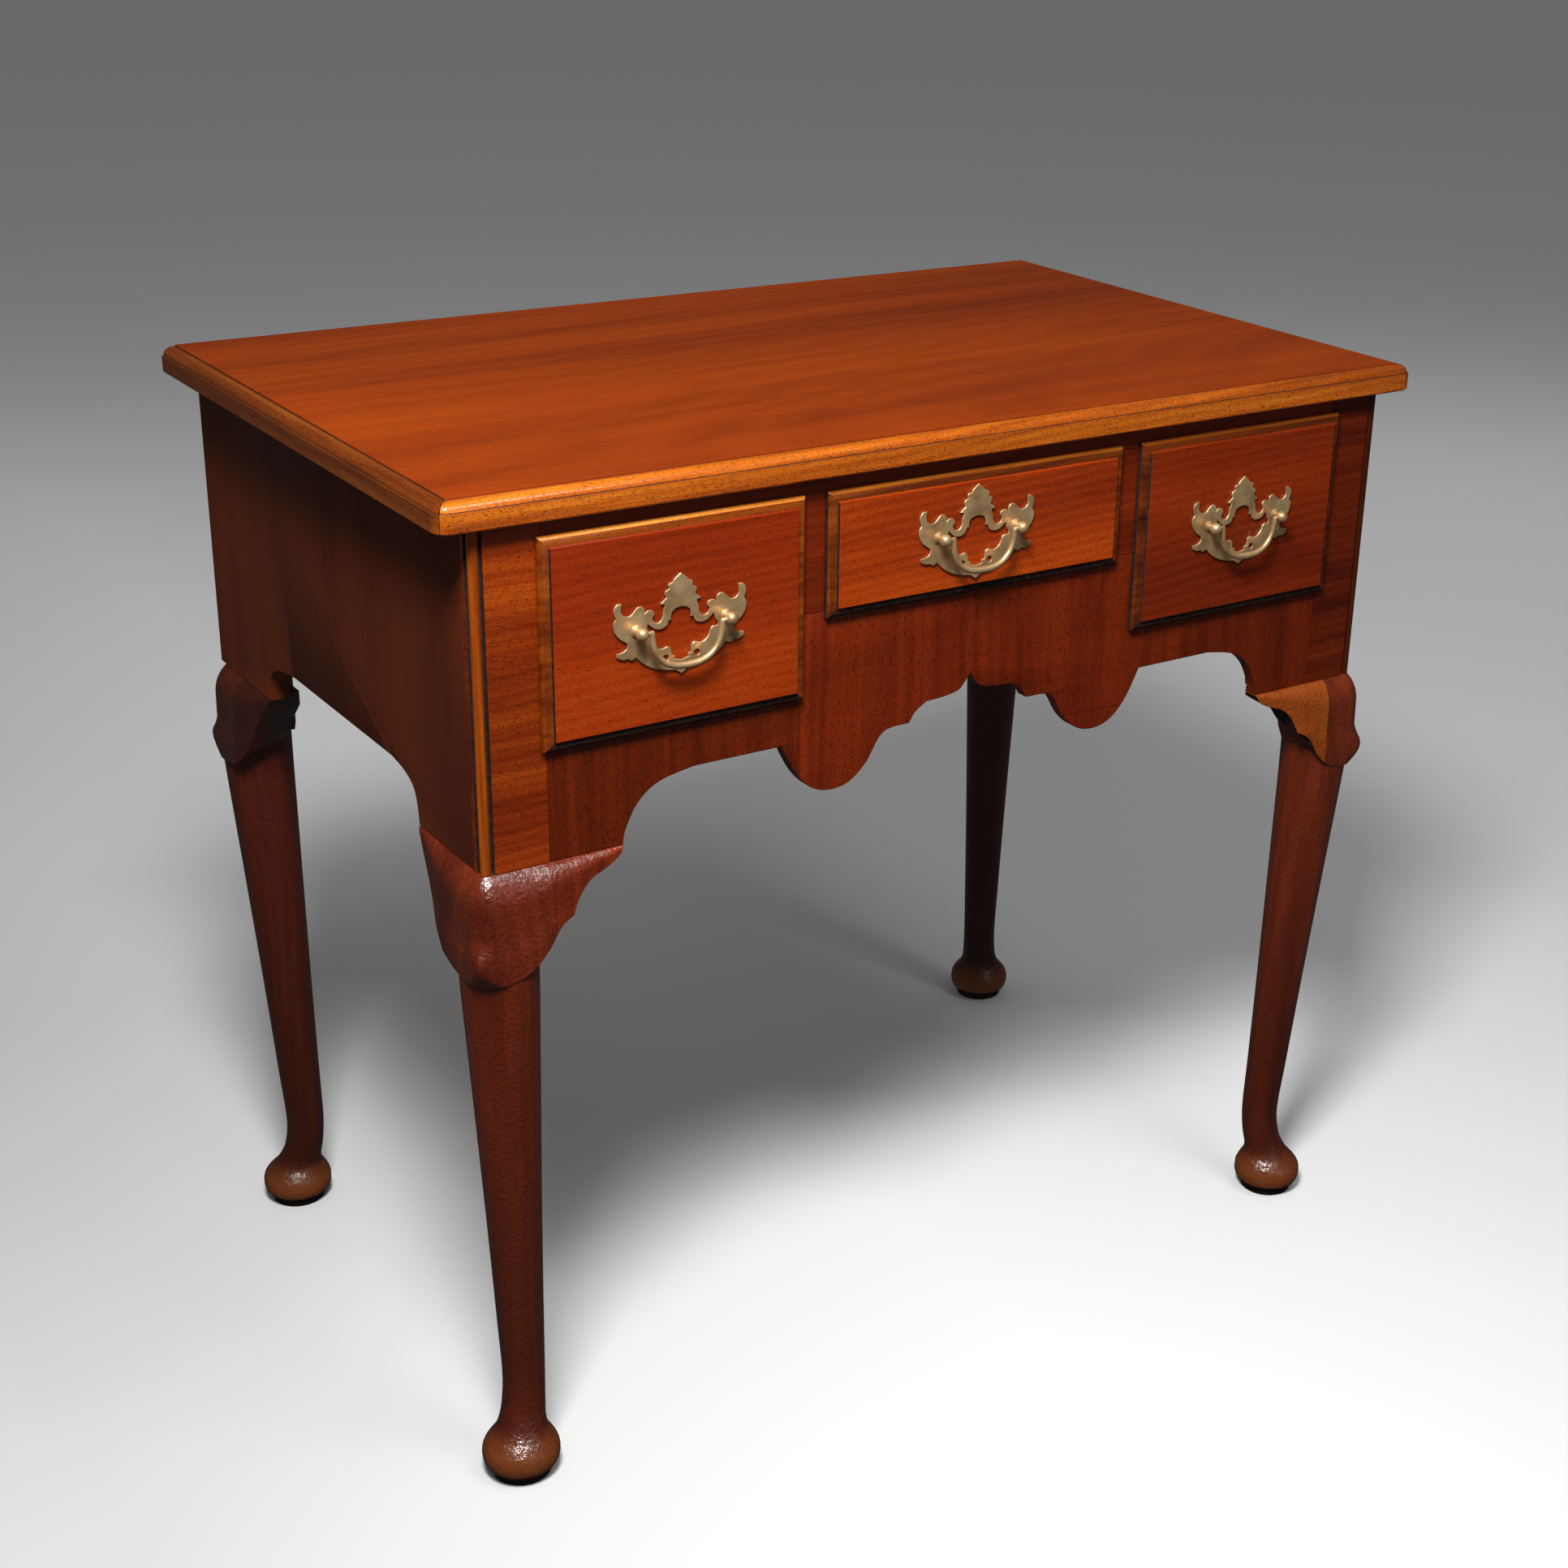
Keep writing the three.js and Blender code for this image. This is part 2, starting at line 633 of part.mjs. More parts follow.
function drawerFront(x0, x1, z0, z1, handleX) {
  const ring = (inset, proud) => [
    [x0 + inset, frontY - proud, z0 + inset], [x1 - inset, frontY - proud, z0 + inset],
    [x1 - inset, frontY - proud, z1 - inset], [x0 + inset, frontY - proud, z1 - inset]];
  const plug = lipOverlap + runGap;
  const thumb = Array.from({ length: quarterSteps + 1 }, (_, i) => {
    const angle = (i / quarterSteps) * Math.PI / 2;
    return ring(thumbWidth * (1 - Math.cos(angle)), jointGap + lipThickness + thumbRise * Math.sin(angle));
  });
  const loops = [
    ring(plug, -frontPlugDepth), ring(plug, jointGap), ring(0, jointGap), ...thumb,
    ring(thumbWidth + fieldStepWidth, frontProud)];
  const solid = toSolid(skin(loops));
  const bores = postsOf(handleX, (z0 + z1) / 2)
    .map(([x, z]) => toSolid(alongY(circle(x, z, shankRadius + shankClear, holeSteps),
      frontY - frontProud - cutOverrun, frontY + frontPlugDepth + cutOverrun)));
  return toGeometry(bores.reduce((rest, bore) => rest.subtract(bore), solid));
}

function drawerBox(name, group, x0, x1, z0, z1) {
  const left = x0 + lipOverlap + runGap;
  const right = x1 - lipOverlap - runGap;
  const low = z0 + lipOverlap + slideGap;
  const high = z1 - lipOverlap - boxTopDrop;
  const y0 = frontY + frontPlugDepth + jointGap;
  const y1 = innerBackY - boxBackClear;
  const bottom = low + boxBottomRise;
  const grooveTop = bottom + boxBottomThickness + jointGap;
  const face = left + boxSideThickness;
  const groove = face - boxGrooveDepth;
  const sideBoard = [
    [left, low], [face, low], [face, bottom - jointGap], [groove, bottom - jointGap],
    [groove, grooveTop], [face, grooveTop], [face, high], [left, high]];
  const otherBoard = sideBoard.map(([x, z]) => [left + right - x, z]).reverse();
  add(`${name}_side_left`, alongY(sideBoard, y0, y1), innerWood, group);
  add(`${name}_side_right`, alongY(otherBoard, y0, y1), innerWood, group);
  const inLeft = left + boxSideThickness + jointGap;
  const inRight = right - boxSideThickness - jointGap;
  add(`${name}_back`, board(inLeft, inRight, y1 - boxBackThickness, y1, grooveTop, high), innerWood, group);
  const tongue = boxGrooveDepth - jointGap;
  add(`${name}_bottom`, board(inLeft - jointGap - tongue, inRight + jointGap + tongue, y0, y1,
    bottom, bottom + boxBottomThickness), innerWood, group);
}

// The plate's right half from its tip to its nib, and its opening from the arch down to the skirt
const plateShares = [
  [[0, 1], [0.055, 0.945], [0.1, 0.89], [0.115, 0.85]],
  [[0.115, 0.85], [0.17, 0.83], [0.185, 0.785], [0.17, 0.735]],
  [[0.17, 0.735], [0.225, 0.7], [0.24, 0.64], [0.215, 0.575]],
  [[0.215, 0.575], [0.305, 0.475]],
  [[0.305, 0.475], [0.235, 0.44]],
  [[0.235, 0.44], [0.262, 0.34], [0.27, 0.24], [0.31, 0.15], [0.36, 0.13], [0.41, 0.165], [0.43, 0.235]],
  [[0.43, 0.235], [0.395, 0.31], [0.425, 0.38], [0.49, 0.395], [0.545, 0.345]],
  [[0.545, 0.345], [0.54, 0.43], [0.58, 0.49], [0.64, 0.49], [0.69, 0.43], [0.75, 0.355], [0.83, 0.36],
    [0.885, 0.45], [0.875, 0.605]],
  [[0.875, 0.605], [0.945, 0.6], [0.995, 0.49], [0.965, 0.325]],
  [[0.965, 0.325], [1, 0.24], [0.985, 0.09], [0.92, -0.04], [0.8, -0.16]],
  [[0.8, -0.16], [0.81, -0.25], [0.87, -0.305], [0.96, -0.325]],
  [[0.96, -0.325], [0.955, -0.4], [0.87, -0.455], [0.795, -0.45]],
  [[0.795, -0.45], [0.76, -0.49], [0.71, -0.48], [0.68, -0.45]],
  [[0.68, -0.45], [0.58, -0.59], [0.44, -0.71], [0.26, -0.79], [0.09, -0.83]],
  [[0.09, -0.83], [0, -0.92]],
];
const plateOpeningShares = [
  [[0, 0.365], [0.075, 0.345], [0.13, 0.29], [0.15, 0.2], [0.145, 0.15]],
  [[0.145, 0.15], [0.185, 0.135]],
  [[0.185, 0.135], [0.22, 0.045], [0.3, 0], [0.39, 0.02], [0.455, 0.085], [0.495, 0.14]],
  [[0.495, 0.14], [0.52, 0.02], [0.56, -0.06], [0.555, -0.12]],
  [[0.555, -0.12], [0.49, -0.115], [0.45, -0.155], [0.425, -0.245], [0.38, -0.33], [0.32, -0.375],
    [0.26, -0.37], [0.205, -0.345], [0.16, -0.385], [0.15, -0.46]],
  [[0.15, -0.46], [0.14, -0.535], [0.1, -0.55], [0.105, -0.61]],
  [[0.105, -0.61], [0, -0.65]],
];
const plateEyeShares = [0.235, -0.565, 0.045];

function backplate(x, z) {
  const both = (shares) => {
    const right = trace(shares, plateHalfWidth, plateTop);
    return [...right.slice(0, -1), ...mirrored(right).slice(0, -1)].map(([a, b]) => [x + a, z + b]);
  };
  const [eyeOut, eyeUp, eyeSize] = plateEyeShares;
  const eye = (side) => circle(x + side * plateHalfWidth * eyeOut, z + plateTop * eyeUp,
    plateHalfWidth * eyeSize, holeSteps);
  const bores = postsOf(x, z).map(([a, b]) => circle(a, b, shankRadius + shankClear, holeSteps));
  const holes = [both(plateOpeningShares), eye(-1), eye(1), ...bores];
  return alongY(both(plateShares), plateFace, plateFace + plateThickness, holes);
}

// A turned post: collar, neck and ball in front of the plate, with its shank through the drawer's front
function handlePost(x, z, side) {
  const base = jointGap;
  const ballLow = postStandOff - Math.sqrt(ballRadius ** 2 - neckRadius ** 2);
  const ball = Array.from({ length: ballSteps }, (_, i) => {
    const low = Math.asin(neckRadius / ballRadius);
    const angle = low + (i / ballSteps) * (Math.PI - low);
    return new THREE.Vector2(ballRadius * Math.sin(angle), postStandOff - ballRadius * Math.cos(angle));
  });
  const tail = -plateThickness - frontProud - frontPlugDepth;
  const profile = [
    new THREE.Vector2(0, tail), new THREE.Vector2(shankRadius, tail), new THREE.Vector2(shankRadius, base),
    new THREE.Vector2(collarRadius, base), new THREE.Vector2(neckRadius, base + collarHeight),
    new THREE.Vector2(neckRadius, (ballLow + collarHeight) / 2),
    ...ball, new THREE.Vector2(0, postStandOff + ballRadius)];
  const turned = new THREE.LatheGeometry(profile, holeSteps).rotateX(Math.PI).translate(x, plateFace, z);
  const mouth = x - side * (ballRadius + cutOverrun);
  const eye = alongX(circle(pivotY, z, pinRadius + pinClear, holeSteps), mouth, x + side * pinRadius);
  return toGeometry(toSolid(turned).subtract(toSolid(eye)));
}

// The bail's bow, as shares of its half width and drop, and its two thin pins into the ball posts
const bowShares = [[1, 0], [0.985, 0.22], [0.93, 0.45], [0.82, 0.67], [0.62, 0.86], [0.34, 0.97], [0, 1]];

function bail(x, z) {
  const at = (a, b) => new THREE.Vector3(x + a * bailHalf, pivotY, z + postRise - b * bailDrop);
  const right = bowShares.map(([a, b]) => at(a, b));
  const left = bowShares.slice(0, -1).map(([a, b]) => at(-a, b)).reverse();
  const extrudePath = new THREE.CatmullRomCurve3([...right, ...left], false, 'centripetal');
  const section = shapeOf(circle(0, 0, bailRadius, bailSides));
  const sweep = { steps: bailSteps, bevelEnabled: false, extrudePath };
  const bow = toSolid(new THREE.ExtrudeGeometry(section, sweep));
  const pin = (side) => toSolid(alongX(circle(pivotY, z + postRise, pinRadius, bailSides),
    x + side * (bailHalf - bailRadius), x + side * (postSpacing / 2 - pinClear)));
  const knuckle = (side) => toSolid(new THREE.SphereGeometry(bailRadius, bailSides, bailSides / 2)
    .translate(x + side * bailHalf, pivotY, z + postRise));
  return toGeometry(bow.add(pin(-1)).add(pin(1)).add(knuckle(-1)).add(knuckle(1)));
}

function drawer(name, x0, x1, z0, z1, handleShift) {
  const group = new THREE.Group();
  model.add(group);
  const x = (x0 + x1) / 2 + handleShift;
  const z = (z0 + z1) / 2;
  add(`${name}_front`, drawerFront(x0, x1, z0, z1, x), drawerWood, group);
  drawerBox(name, group, x0, x1, z0, z1);
  add(`${name}_backplate`, backplate(x, z), brass, group);
  const [leftPost, rightPost] = postsOf(x, z);
  add(`${name}_post_left`, handlePost(leftPost[0], leftPost[1], -1), brass, group);
  add(`${name}_post_right`, handlePost(rightPost[0], rightPost[1], 1), brass, group);
  add(`${name}_bail`, bail(x, z), brass, group);
}

const lipTop = totalHeight - lipTopDrop;
const centreHalf = centreFrontWidth / 2;
const sideIn = centreHalf + frontSpacing;
const sideOut = sideOpenOut + lipOverlap;
drawer('drawer_centre', -centreHalf, centreHalf, lipTop - centreFrontHeight, lipTop, -centreHandleShift);
drawer('drawer_left', -sideOut, -sideIn, lipTop - sideFrontHeight, lipTop, 0);
drawer('drawer_right', sideIn, sideOut, lipTop - sideFrontHeight, lipTop, 0);

// The origin is under the middle of the whole piece, handles included
model.updateMatrixWorld(true);
const bounds = new THREE.Box3().setFromObject(model);
model.position.y = -(bounds.min.y + bounds.max.y) / 2;
model.updateMatrixWorld(true);

export default model;
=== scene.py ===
import math

import bpy
from mathutils import Matrix, Vector


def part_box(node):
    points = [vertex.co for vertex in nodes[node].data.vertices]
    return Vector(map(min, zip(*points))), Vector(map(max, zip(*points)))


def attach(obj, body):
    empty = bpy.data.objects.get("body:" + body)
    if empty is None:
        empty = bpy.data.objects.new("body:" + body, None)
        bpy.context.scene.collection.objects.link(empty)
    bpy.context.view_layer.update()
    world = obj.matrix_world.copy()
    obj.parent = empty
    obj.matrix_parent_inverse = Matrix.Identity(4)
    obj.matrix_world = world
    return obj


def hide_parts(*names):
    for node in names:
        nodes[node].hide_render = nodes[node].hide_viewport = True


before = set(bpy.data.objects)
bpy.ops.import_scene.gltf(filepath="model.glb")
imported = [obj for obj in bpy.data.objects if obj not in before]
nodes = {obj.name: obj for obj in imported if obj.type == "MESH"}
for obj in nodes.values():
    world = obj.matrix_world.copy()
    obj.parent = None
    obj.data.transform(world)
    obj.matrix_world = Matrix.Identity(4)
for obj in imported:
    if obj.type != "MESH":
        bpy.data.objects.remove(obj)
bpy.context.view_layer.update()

stage = bpy.context.scene
bpy.ops.object.select_all(action="DESELECT")

# The camera stands at the front left, above the top, where the photograph was taken from.
# Its turn is yaw to the right, then pitch down, then a slight roll.
yaw, pitch, roll = (math.radians(a) for a in (35.17, 22.47, 1.72))
lens = bpy.data.cameras.new("camera")
lens.sensor_width, lens.lens = 36, 54.95
lens.shift_x, lens.shift_y = -0.0781, -0.0023
camera = bpy.data.objects.new("camera", lens)
camera.matrix_world = (Matrix.Translation((-0.9342, -1.4761, 1.1017))
                       @ Matrix.Rotation(-yaw, 4, "Z")
                       @ Matrix.Rotation(math.pi / 2 - pitch, 4, "X")
                       @ Matrix.Rotation(roll, 4, "Z"))
stage.collection.objects.link(camera)
stage.camera = camera

# The top: wide boards of mahogany, planed flat, stained red and wax polished. The grain runs along
# the front in soft dark streaks, with fine short pores, under a satin gloss.


def linear(colour):
    """An sRGB hex colour as linear RGBA."""
    parts = [int(colour[i:i + 2], 16) / 255 for i in (1, 3, 5)]
    return [p / 12.92 if p <= 0.04045 else ((p + 0.055) / 1.055) ** 2.4 for p in parts] + [1]


def feed(tree, node, inputs):
    """Gives a node's inputs their values or links."""
    for name, value in inputs.items():
        if isinstance(value, bpy.types.NodeSocket):
            tree.links.new(value, node.inputs[name])
        else:
            node.inputs[name].default_value = value


def add(tree, kind, inputs, stops=(), **settings):
    """Adds a node with its settings, the values or links of its inputs, and its colour stops."""
    made = tree.nodes.new("ShaderNode" + kind)
    for name, value in settings.items():
        setattr(made, name, value)
    feed(tree, made, inputs)
    for i, (at, colour) in enumerate(stops):
        stop = made.color_ramp.elements[i] if i < 2 else made.color_ramp.elements.new(at)
        stop.position, stop.color = at, linear(colour)
    return made


def blank(name):
    """A new material with its node tree, its shader, and the object's own coordinates."""
    material = bpy.data.materials.new(name)
    material.use_nodes = True
    tree = material.node_tree
    point = add(tree, "TexCoord", {}).outputs["Object"]
    return material, tree, tree.nodes["Principled BSDF"], point


def grained(name, along, tones, place, streaks, spread, rough, coat, pores, carved=0.0,
            foot=False):
    """Wood with its grain along one axis, its figure moved by a place, and its tones from dark to
    light. Streaks are the dark bands in a metre across the grain, which more spread makes softer.
    Rough is its roughness, coat is how much clear polish lies on it, pores is how dark its pores
    are, and carved is how uneven the gouge and the rubbing cloth left it. A foot's pad is paler, as
    rubbed wear and a painted sheen, over a darker ankle."""
    material, tree, shader, point = blank(name)
    turn = {"X": (0, 0, 0), "Y": (0, 0, -math.pi / 2), "Z": (0, math.pi / 2, 0)}[along]
    grain = add(tree, "Mapping", {0: point, "Location": place, "Rotation": turn}).outputs[0]
    # The bands wander by some 15 mm across the grain
    slow = add(tree, "Mapping", {0: grain, "Scale": (2.4, 8, 8)}).outputs[0]
    wander = add(tree, "TexNoise", {"Vector": slow, "Scale": 1, "Detail": 2}).outputs["Color"]
    centred = add(tree, "VectorMath", {0: wander, 1: (0.5, 0.5, 0.5)},
                  operation="SUBTRACT").outputs[0]
    bent = add(tree, "VectorMath", {0: centred, 1: (0, 0.03, 0.03), 2: grain},
               operation="MULTIPLY_ADD").outputs[0]
    band = add(tree, "Mapping", {0: bent, "Scale": (1.1, streaks, streaks)}).outputs[0]
    bands = add(tree, "TexNoise", {"Vector": band, "Scale": 1, "Detail": 4,
                                   "Roughness": 0.55}).outputs["Fac"]
    # Growth rings 7 mm apart, cut at a slant
    slant = add(tree, "Mapping", {0: bent, "Location": (0, 0.13, 0.21),
                                  "Rotation": (0, 0.05, 0.04)}).outputs[0]
    rings = add(tree, "TexWave", {"Vector": slant, "Scale": 45, "Distortion": 1.2, "Detail": 1},
                wave_type="RINGS", rings_direction="X").outputs["Fac"]
    # Fibres 1 mm wide and pores 0.4 by 2 mm, coarser than the real ones, so that they show
    fibre = add(tree, "Mapping", {0: bent, "Scale": (25, 900, 900)}).outputs[0]
    fibres = add(tree, "TexNoise", {"Vector": fibre, "Scale": 1, "Detail": 2}).outputs["Fac"]
    pore = add(tree, "Mapping", {0: bent, "Scale": (450, 2400, 2400)}).outputs[0]
    holes = add(tree, "TexNoise", {"Vector": pore, "Scale": 1, "Detail": 0}).outputs["Fac"]
    holes = add(tree, "MapRange", {0: holes, 1: 0.58, 2: 0.72, 3: 0, 4: pores}).outputs[0]
    # The bands give the tone, and the rings and fibres shift it a little
    tone = add(tree, "Math", {0: rings, 1: 0.08, 2: -0.04}, operation="MULTIPLY_ADD").outputs[0]
    tone = add(tree, "Math", {0: bands, 1: tone}, operation="ADD").outputs[0]
    some = add(tree, "Math", {0: fibres, 1: 0.16, 2: -0.08}, operation="MULTIPLY_ADD").outputs[0]
    tone = add(tree, "Math", {0: tone, 1: some}, operation="ADD").outputs[0]
    low, high = 0.5 - spread / 2, 0.5 + spread / 2
    steps = [(low + (high - low) * i / (len(tones) - 1), t) for i, t in enumerate(tones)]
    colour = add(tree, "ValToRGB", {0: tone}, steps).outputs[0]
    # Amounts and the colours mixed in: the pores, then on a leg the darker ankle and the pad's
    # paler tone, which is rubbed wear and a painted sheen
    veils = [(holes, "#2a0c04")]
    if foot:
        height = add(tree, "SeparateXYZ", {0: point}).outputs[2]
        ankle = add(tree, "MapRange", {0: height, 1: 0.05, 2: 0.3, 3: 0.45, 4: 0}).outputs[0]
        # The pad's paler tone is partly rubbed wear and partly a painted sheen
        pad_sheen = add(tree, "MapRange", {0: height, 1: 0.019, 2: 0.038, 3: 0.5, 4: 0}).outputs[0]
        veils += [(ankle, "#2a0f05"), (pad_sheen, "#9a5420")]
    for amount, veil in veils:
        colour = add(tree, "Mix", {0: amount, 6: colour, 7: linear(veil)},
                     data_type="RGBA").outputs[2]
    shine = add(tree, "MapRange", {0: fibres, 1: 0.3, 2: 0.7, 3: rough - 0.06,
                                   4: rough + 0.08}).outputs[0]
    relief = add(tree, "Math", {0: holes, 1: -1.6, 2: fibres}, operation="MULTIPLY_ADD").outputs[0]
    bump = add(tree, "Bump", {"Height": relief, "Strength": 0.25, "Distance": 0.0002}).outputs[0]
    # Dents 3 mm wide in the polish
    dents = add(tree, "TexNoise", {"Vector": point, "Scale": 330, "Detail": 3}).outputs["Fac"]
    bump = add(tree, "Bump", {"Height": dents, "Strength": carved, "Distance": 0.0016,
                              "Normal": bump}).outputs[0]
    feed(tree, shader, {"Base Color": colour, "Roughness": shine, "Normal": bump, "IOR": 1.5,
                        "Specular IOR Level": 0.2 + 0.5 * carved, "Coat Weight": coat,
                        "Coat Roughness": 0.06 + 0.08 * carved, "Coat IOR": 1.6,
                        "Coat Normal": bump})
    return material


def dress(piece, *materials):
    """Gives a piece its materials, the first of them all over."""
    piece.data.materials.clear()
    for material in materials:
        piece.data.materials.append(material)


top_tones = ["#662103", "#843003", "#9a3b03", "#a94705"]
dress(nodes["top_board"], grained("mahogany_top", "X", top_tones, (0.3, 0.1, 0), streaks=16,
                                  spread=0.8, rough=0.38, coat=0.3, pores=0.4))

# The top's moulding: three strips of lighter mahogany, planed to an ovolo over a fillet, mitred at
# the front corners and glued round the board. Old wax lies dark in the step and in the quirk.


def flatten(piece):
    """Turns the normals beside an eased edge to suit the larger face, so flat wood shades flat."""
    normals = piece.modifiers.new("normals", "WEIGHTED_NORMAL")
    normals.keep_sharp = True
    bpy.ops.object.modifier_apply(modifier="normals")


def copy_of(node, name, ease, angle=35):
    """A copy of a CAD node's mesh, its triangles merged, its edges eased and its curves smooth."""
    piece = bpy.data.objects.new(name, nodes[node].data.copy())
    stage.collection.objects.link(piece)
    bpy.ops.object.select_all(action="DESELECT")
    bpy.context.view_layer.objects.active = piece
    piece.select_set(True)
    bpy.ops.mesh.customdata_custom_splitnormals_clear()
    bpy.ops.object.mode_set(mode="EDIT")
    bpy.ops.mesh.select_all(action="SELECT")
    bpy.ops.mesh.remove_doubles(threshold=0.00002)
    bpy.ops.mesh.dissolve_limited(angle_limit=math.radians(1))
    bpy.ops.object.mode_set(mode="OBJECT")
    edges = piece.modifiers.new("edges", "BEVEL")
    edges.width, edges.segments = ease, 2
    edges.limit_method, edges.angle_limit = "ANGLE", math.radians(40)
    bpy.ops.object.modifier_apply(modifier="edges")
    bpy.ops.object.shade_smooth_by_angle(angle=math.radians(angle))
    flatten(piece)
    piece.select_set(False)
    return piece


def paint(piece, number, chosen):
    """Gives one of a piece's materials to the faces that their centre and normal choose."""
    for face in piece.data.polygons:
        if chosen(face.center, face.normal):
            face.material_index = number


def fit(piece, body, slot, *stands_for):
    """Fixes a finished piece to its body, and hides the CAD nodes that it stands for. The slot is
    not used.
    """
    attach(piece, body)
    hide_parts(*stands_for)


# Wax gone dark and dull with soot and dust, in specks 3 mm wide. The same dark is also painted as
# shade: under the drawers' lips, below the legs' pads and under the pale ear.
wax_and_shade, tree, shader, point = blank("dark_wax_and_shade")
speck = add(tree, "TexNoise", {"Vector": point, "Scale": 300, "Detail": 2}).outputs["Fac"]
soot = add(tree, "ValToRGB", {0: speck}, [(0.35, "#120703"), (0.65, "#35170a")]).outputs[0]
feed(tree, shader, {"Base Color": soot, "Roughness": 0.6})
front_edge_tones = ["#571f05", "#98440a", "#b85c0f", "#d0751d"]
side_edge_tones = ["#401603", "#733207", "#8c450b", "#a05815"]
top_half, top_front = 0.39525, -0.23445
quirk_height, quirk_inset, step_low, step_high = 0.7131, 0.0086, 0.708, 0.7088
for side, along, tones in (("front", "X", front_edge_tones), ("left", "Y", side_edge_tones),
                           ("right", "Y", side_edge_tones)):
    strip = copy_of(f"top_moulding_{side}", f"top_edge_{side}", 0.0003)
    dress(strip, grained(f"mahogany_edge_{side}", along, tones, (0, 0.2, 0.1), streaks=90,
                         spread=0.55, rough=0.32, coat=1, pores=0.7), wax_and_shade)
    paint(strip, 1, lambda c, n: step_low < c.z < step_high and abs(n.z) < 0.9)
    paint(strip, 1, lambda c, n: c.z > quirk_height
          and min(top_half - abs(c.x), c.y - top_front) > quirk_inset)
    fit(strip, "case", "edge_mahogany", f"top_moulding_{side}")

# The case's sides: pine boards veneered with mahogany, its grain upright, in three widths whose
# joints show. Each is cut to a flat arch between the knees, with its edge just eased.


def between(rows, steps):
    """More rows of numbers, on a smooth curve through the rows."""
    made = []
    for i in range(len(rows) - 1):
        four = [rows[min(max(k, 0), len(rows) - 1)] for k in (i - 1, i, i + 1, i + 2)]
        for j in range(steps):
            t = j / steps
            made.append([0.5 * (2 * b + (c - a) * t + (2 * a - 5 * b + 4 * c - d) * t ** 2
                                + (3 * b - a - 3 * c + d) * t ** 3) for a, b, c, d in zip(*four)])
    return [*made, list(rows[-1])]


def drawn(runs, wide, high, steps=10):
    """Points along runs of knots, in shares of two sizes: two knots are joined by a straight line,
    and more by a curve."""
    points = []
    for run in runs:
        knots = [(a * wide, b * high) for a, b in run]
        points += between(knots, steps if len(knots) > 2 else 1)[:-1]
    return [*points, knots[-1]]


def meshed(name, curve):
    """The mesh that a curve makes, left active and selected."""
    piece = bpy.data.objects.new(name, curve)
    stage.collection.objects.link(piece)
    bpy.ops.object.select_all(action="DESELECT")
    bpy.context.view_layer.objects.active = piece
    piece.select_set(True)
    bpy.ops.object.convert(target="MESH")
    return bpy.context.object


def sawn(name, outline, thickness, holes=(), ease=0.0006, inside=0.0):
    """A board sawn to an outline across and up, or inside it, its edges eased, its front at 0."""
    flat = bpy.data.curves.new(name, "CURVE")
    flat.dimensions, flat.fill_mode = "2D", "BOTH"
    flat.extrude, flat.offset = thickness / 2 - ease, -ease - inside
    flat.bevel_depth, flat.bevel_resolution = ease, 2
    for points in (outline, *holes):
        line = flat.splines.new("POLY")
        line.points.add(len(points) - 1)
        line.use_cyclic_u = True
        for knot, (across, up) in zip(line.points, points):
            knot.co = (across, up, 0, 1)
    piece = meshed(name, flat)
    bpy.ops.object.mode_set(mode="EDIT")
    bpy.ops.mesh.select_all(action="SELECT")
    bpy.ops.mesh.remove_doubles(threshold=0.00002)
    bpy.ops.mesh.normals_make_consistent(inside=False)
    bpy.ops.object.mode_set(mode="OBJECT")
    piece.data.transform(Matrix.Translation((0, thickness / 2, 0))
                         @ Matrix.Rotation(math.pi / 2, 4, "X"))
    bpy.ops.object.shade_smooth_by_angle(angle=math.radians(35))
    flatten(piece)
    piece.select_set(False)
    return piece


def cut(piece, axis, *places):
    """Divides the faces that cross places along an axis, where one wood meets another."""
    normal = Vector([letter == axis for letter in "XYZ"])
    bpy.context.view_layer.objects.active = piece
    bpy.ops.object.mode_set(mode="EDIT")
    for place in places:
        bpy.ops.mesh.select_all(action="SELECT")
        bpy.ops.mesh.bisect(plane_co=normal * place, plane_no=normal)
    bpy.ops.object.mode_set(mode="OBJECT")


seat, case_top, case_half = 0.4699, 0.6952, 0.371
front_face, back_face, side_thick, stile_deep = -0.22325, 0.24085, 0.016, 0.0137
arch = [[(0, 0), (0.03, 0.32), (0.11, 0.6), (0.27, 0.785), (0.58, 0.92), (1, 1)]]
arch_rise, front_from, front_run, back_from, back_run = 0.0346, 0.096, 0.04, 0.1025, 0.0545
front_end = [(front_face + front_from + a, seat + b)
             for a, b in drawn(arch, front_run, arch_rise)]
back_end = [(back_face - back_from - a, seat + b) for a, b in drawn(arch, back_run, arch_rise)]
side_start = front_face + stile_deep
side_outline = [(side_start, seat), *front_end, *reversed(back_end),
                (back_face, seat), (back_face, case_top), (side_start, case_top)]
side_tones = ["#431709", "#57230f", "#652b13", "#713317"]
side_woods = [grained(f"mahogany_side_{i}", "Z", side_tones, (0.1 * i, 0.37 * i, 0.2), streaks=14,
                      spread=0.9, rough=0.4, coat=0.2, pores=0.3) for i in range(3)]
front_joint, back_joint = -0.08, 0.0928
for name, side in (("left", -1), ("right", 1)):
    panel = sawn(f"case_side_{name}", side_outline, side_thick)
    panel.data.transform(Matrix.Translation((case_half, 0, 0))
                         @ Matrix.Rotation(math.pi / 2, 4, "Z"))
    if side < 0:
        panel.data.transform(Matrix.Scale(-1, 4, (1, 0, 0)))
        panel.data.flip_normals()
    cut(panel, "Y", front_joint, back_joint)
    dress(panel, *side_woods)
    paint(panel, 1, lambda c, n: c.y > front_joint)
    paint(panel, 2, lambda c, n: c.y > back_joint)
    fit(panel, "case", "side_mahogany", f"side_panel_{name}")

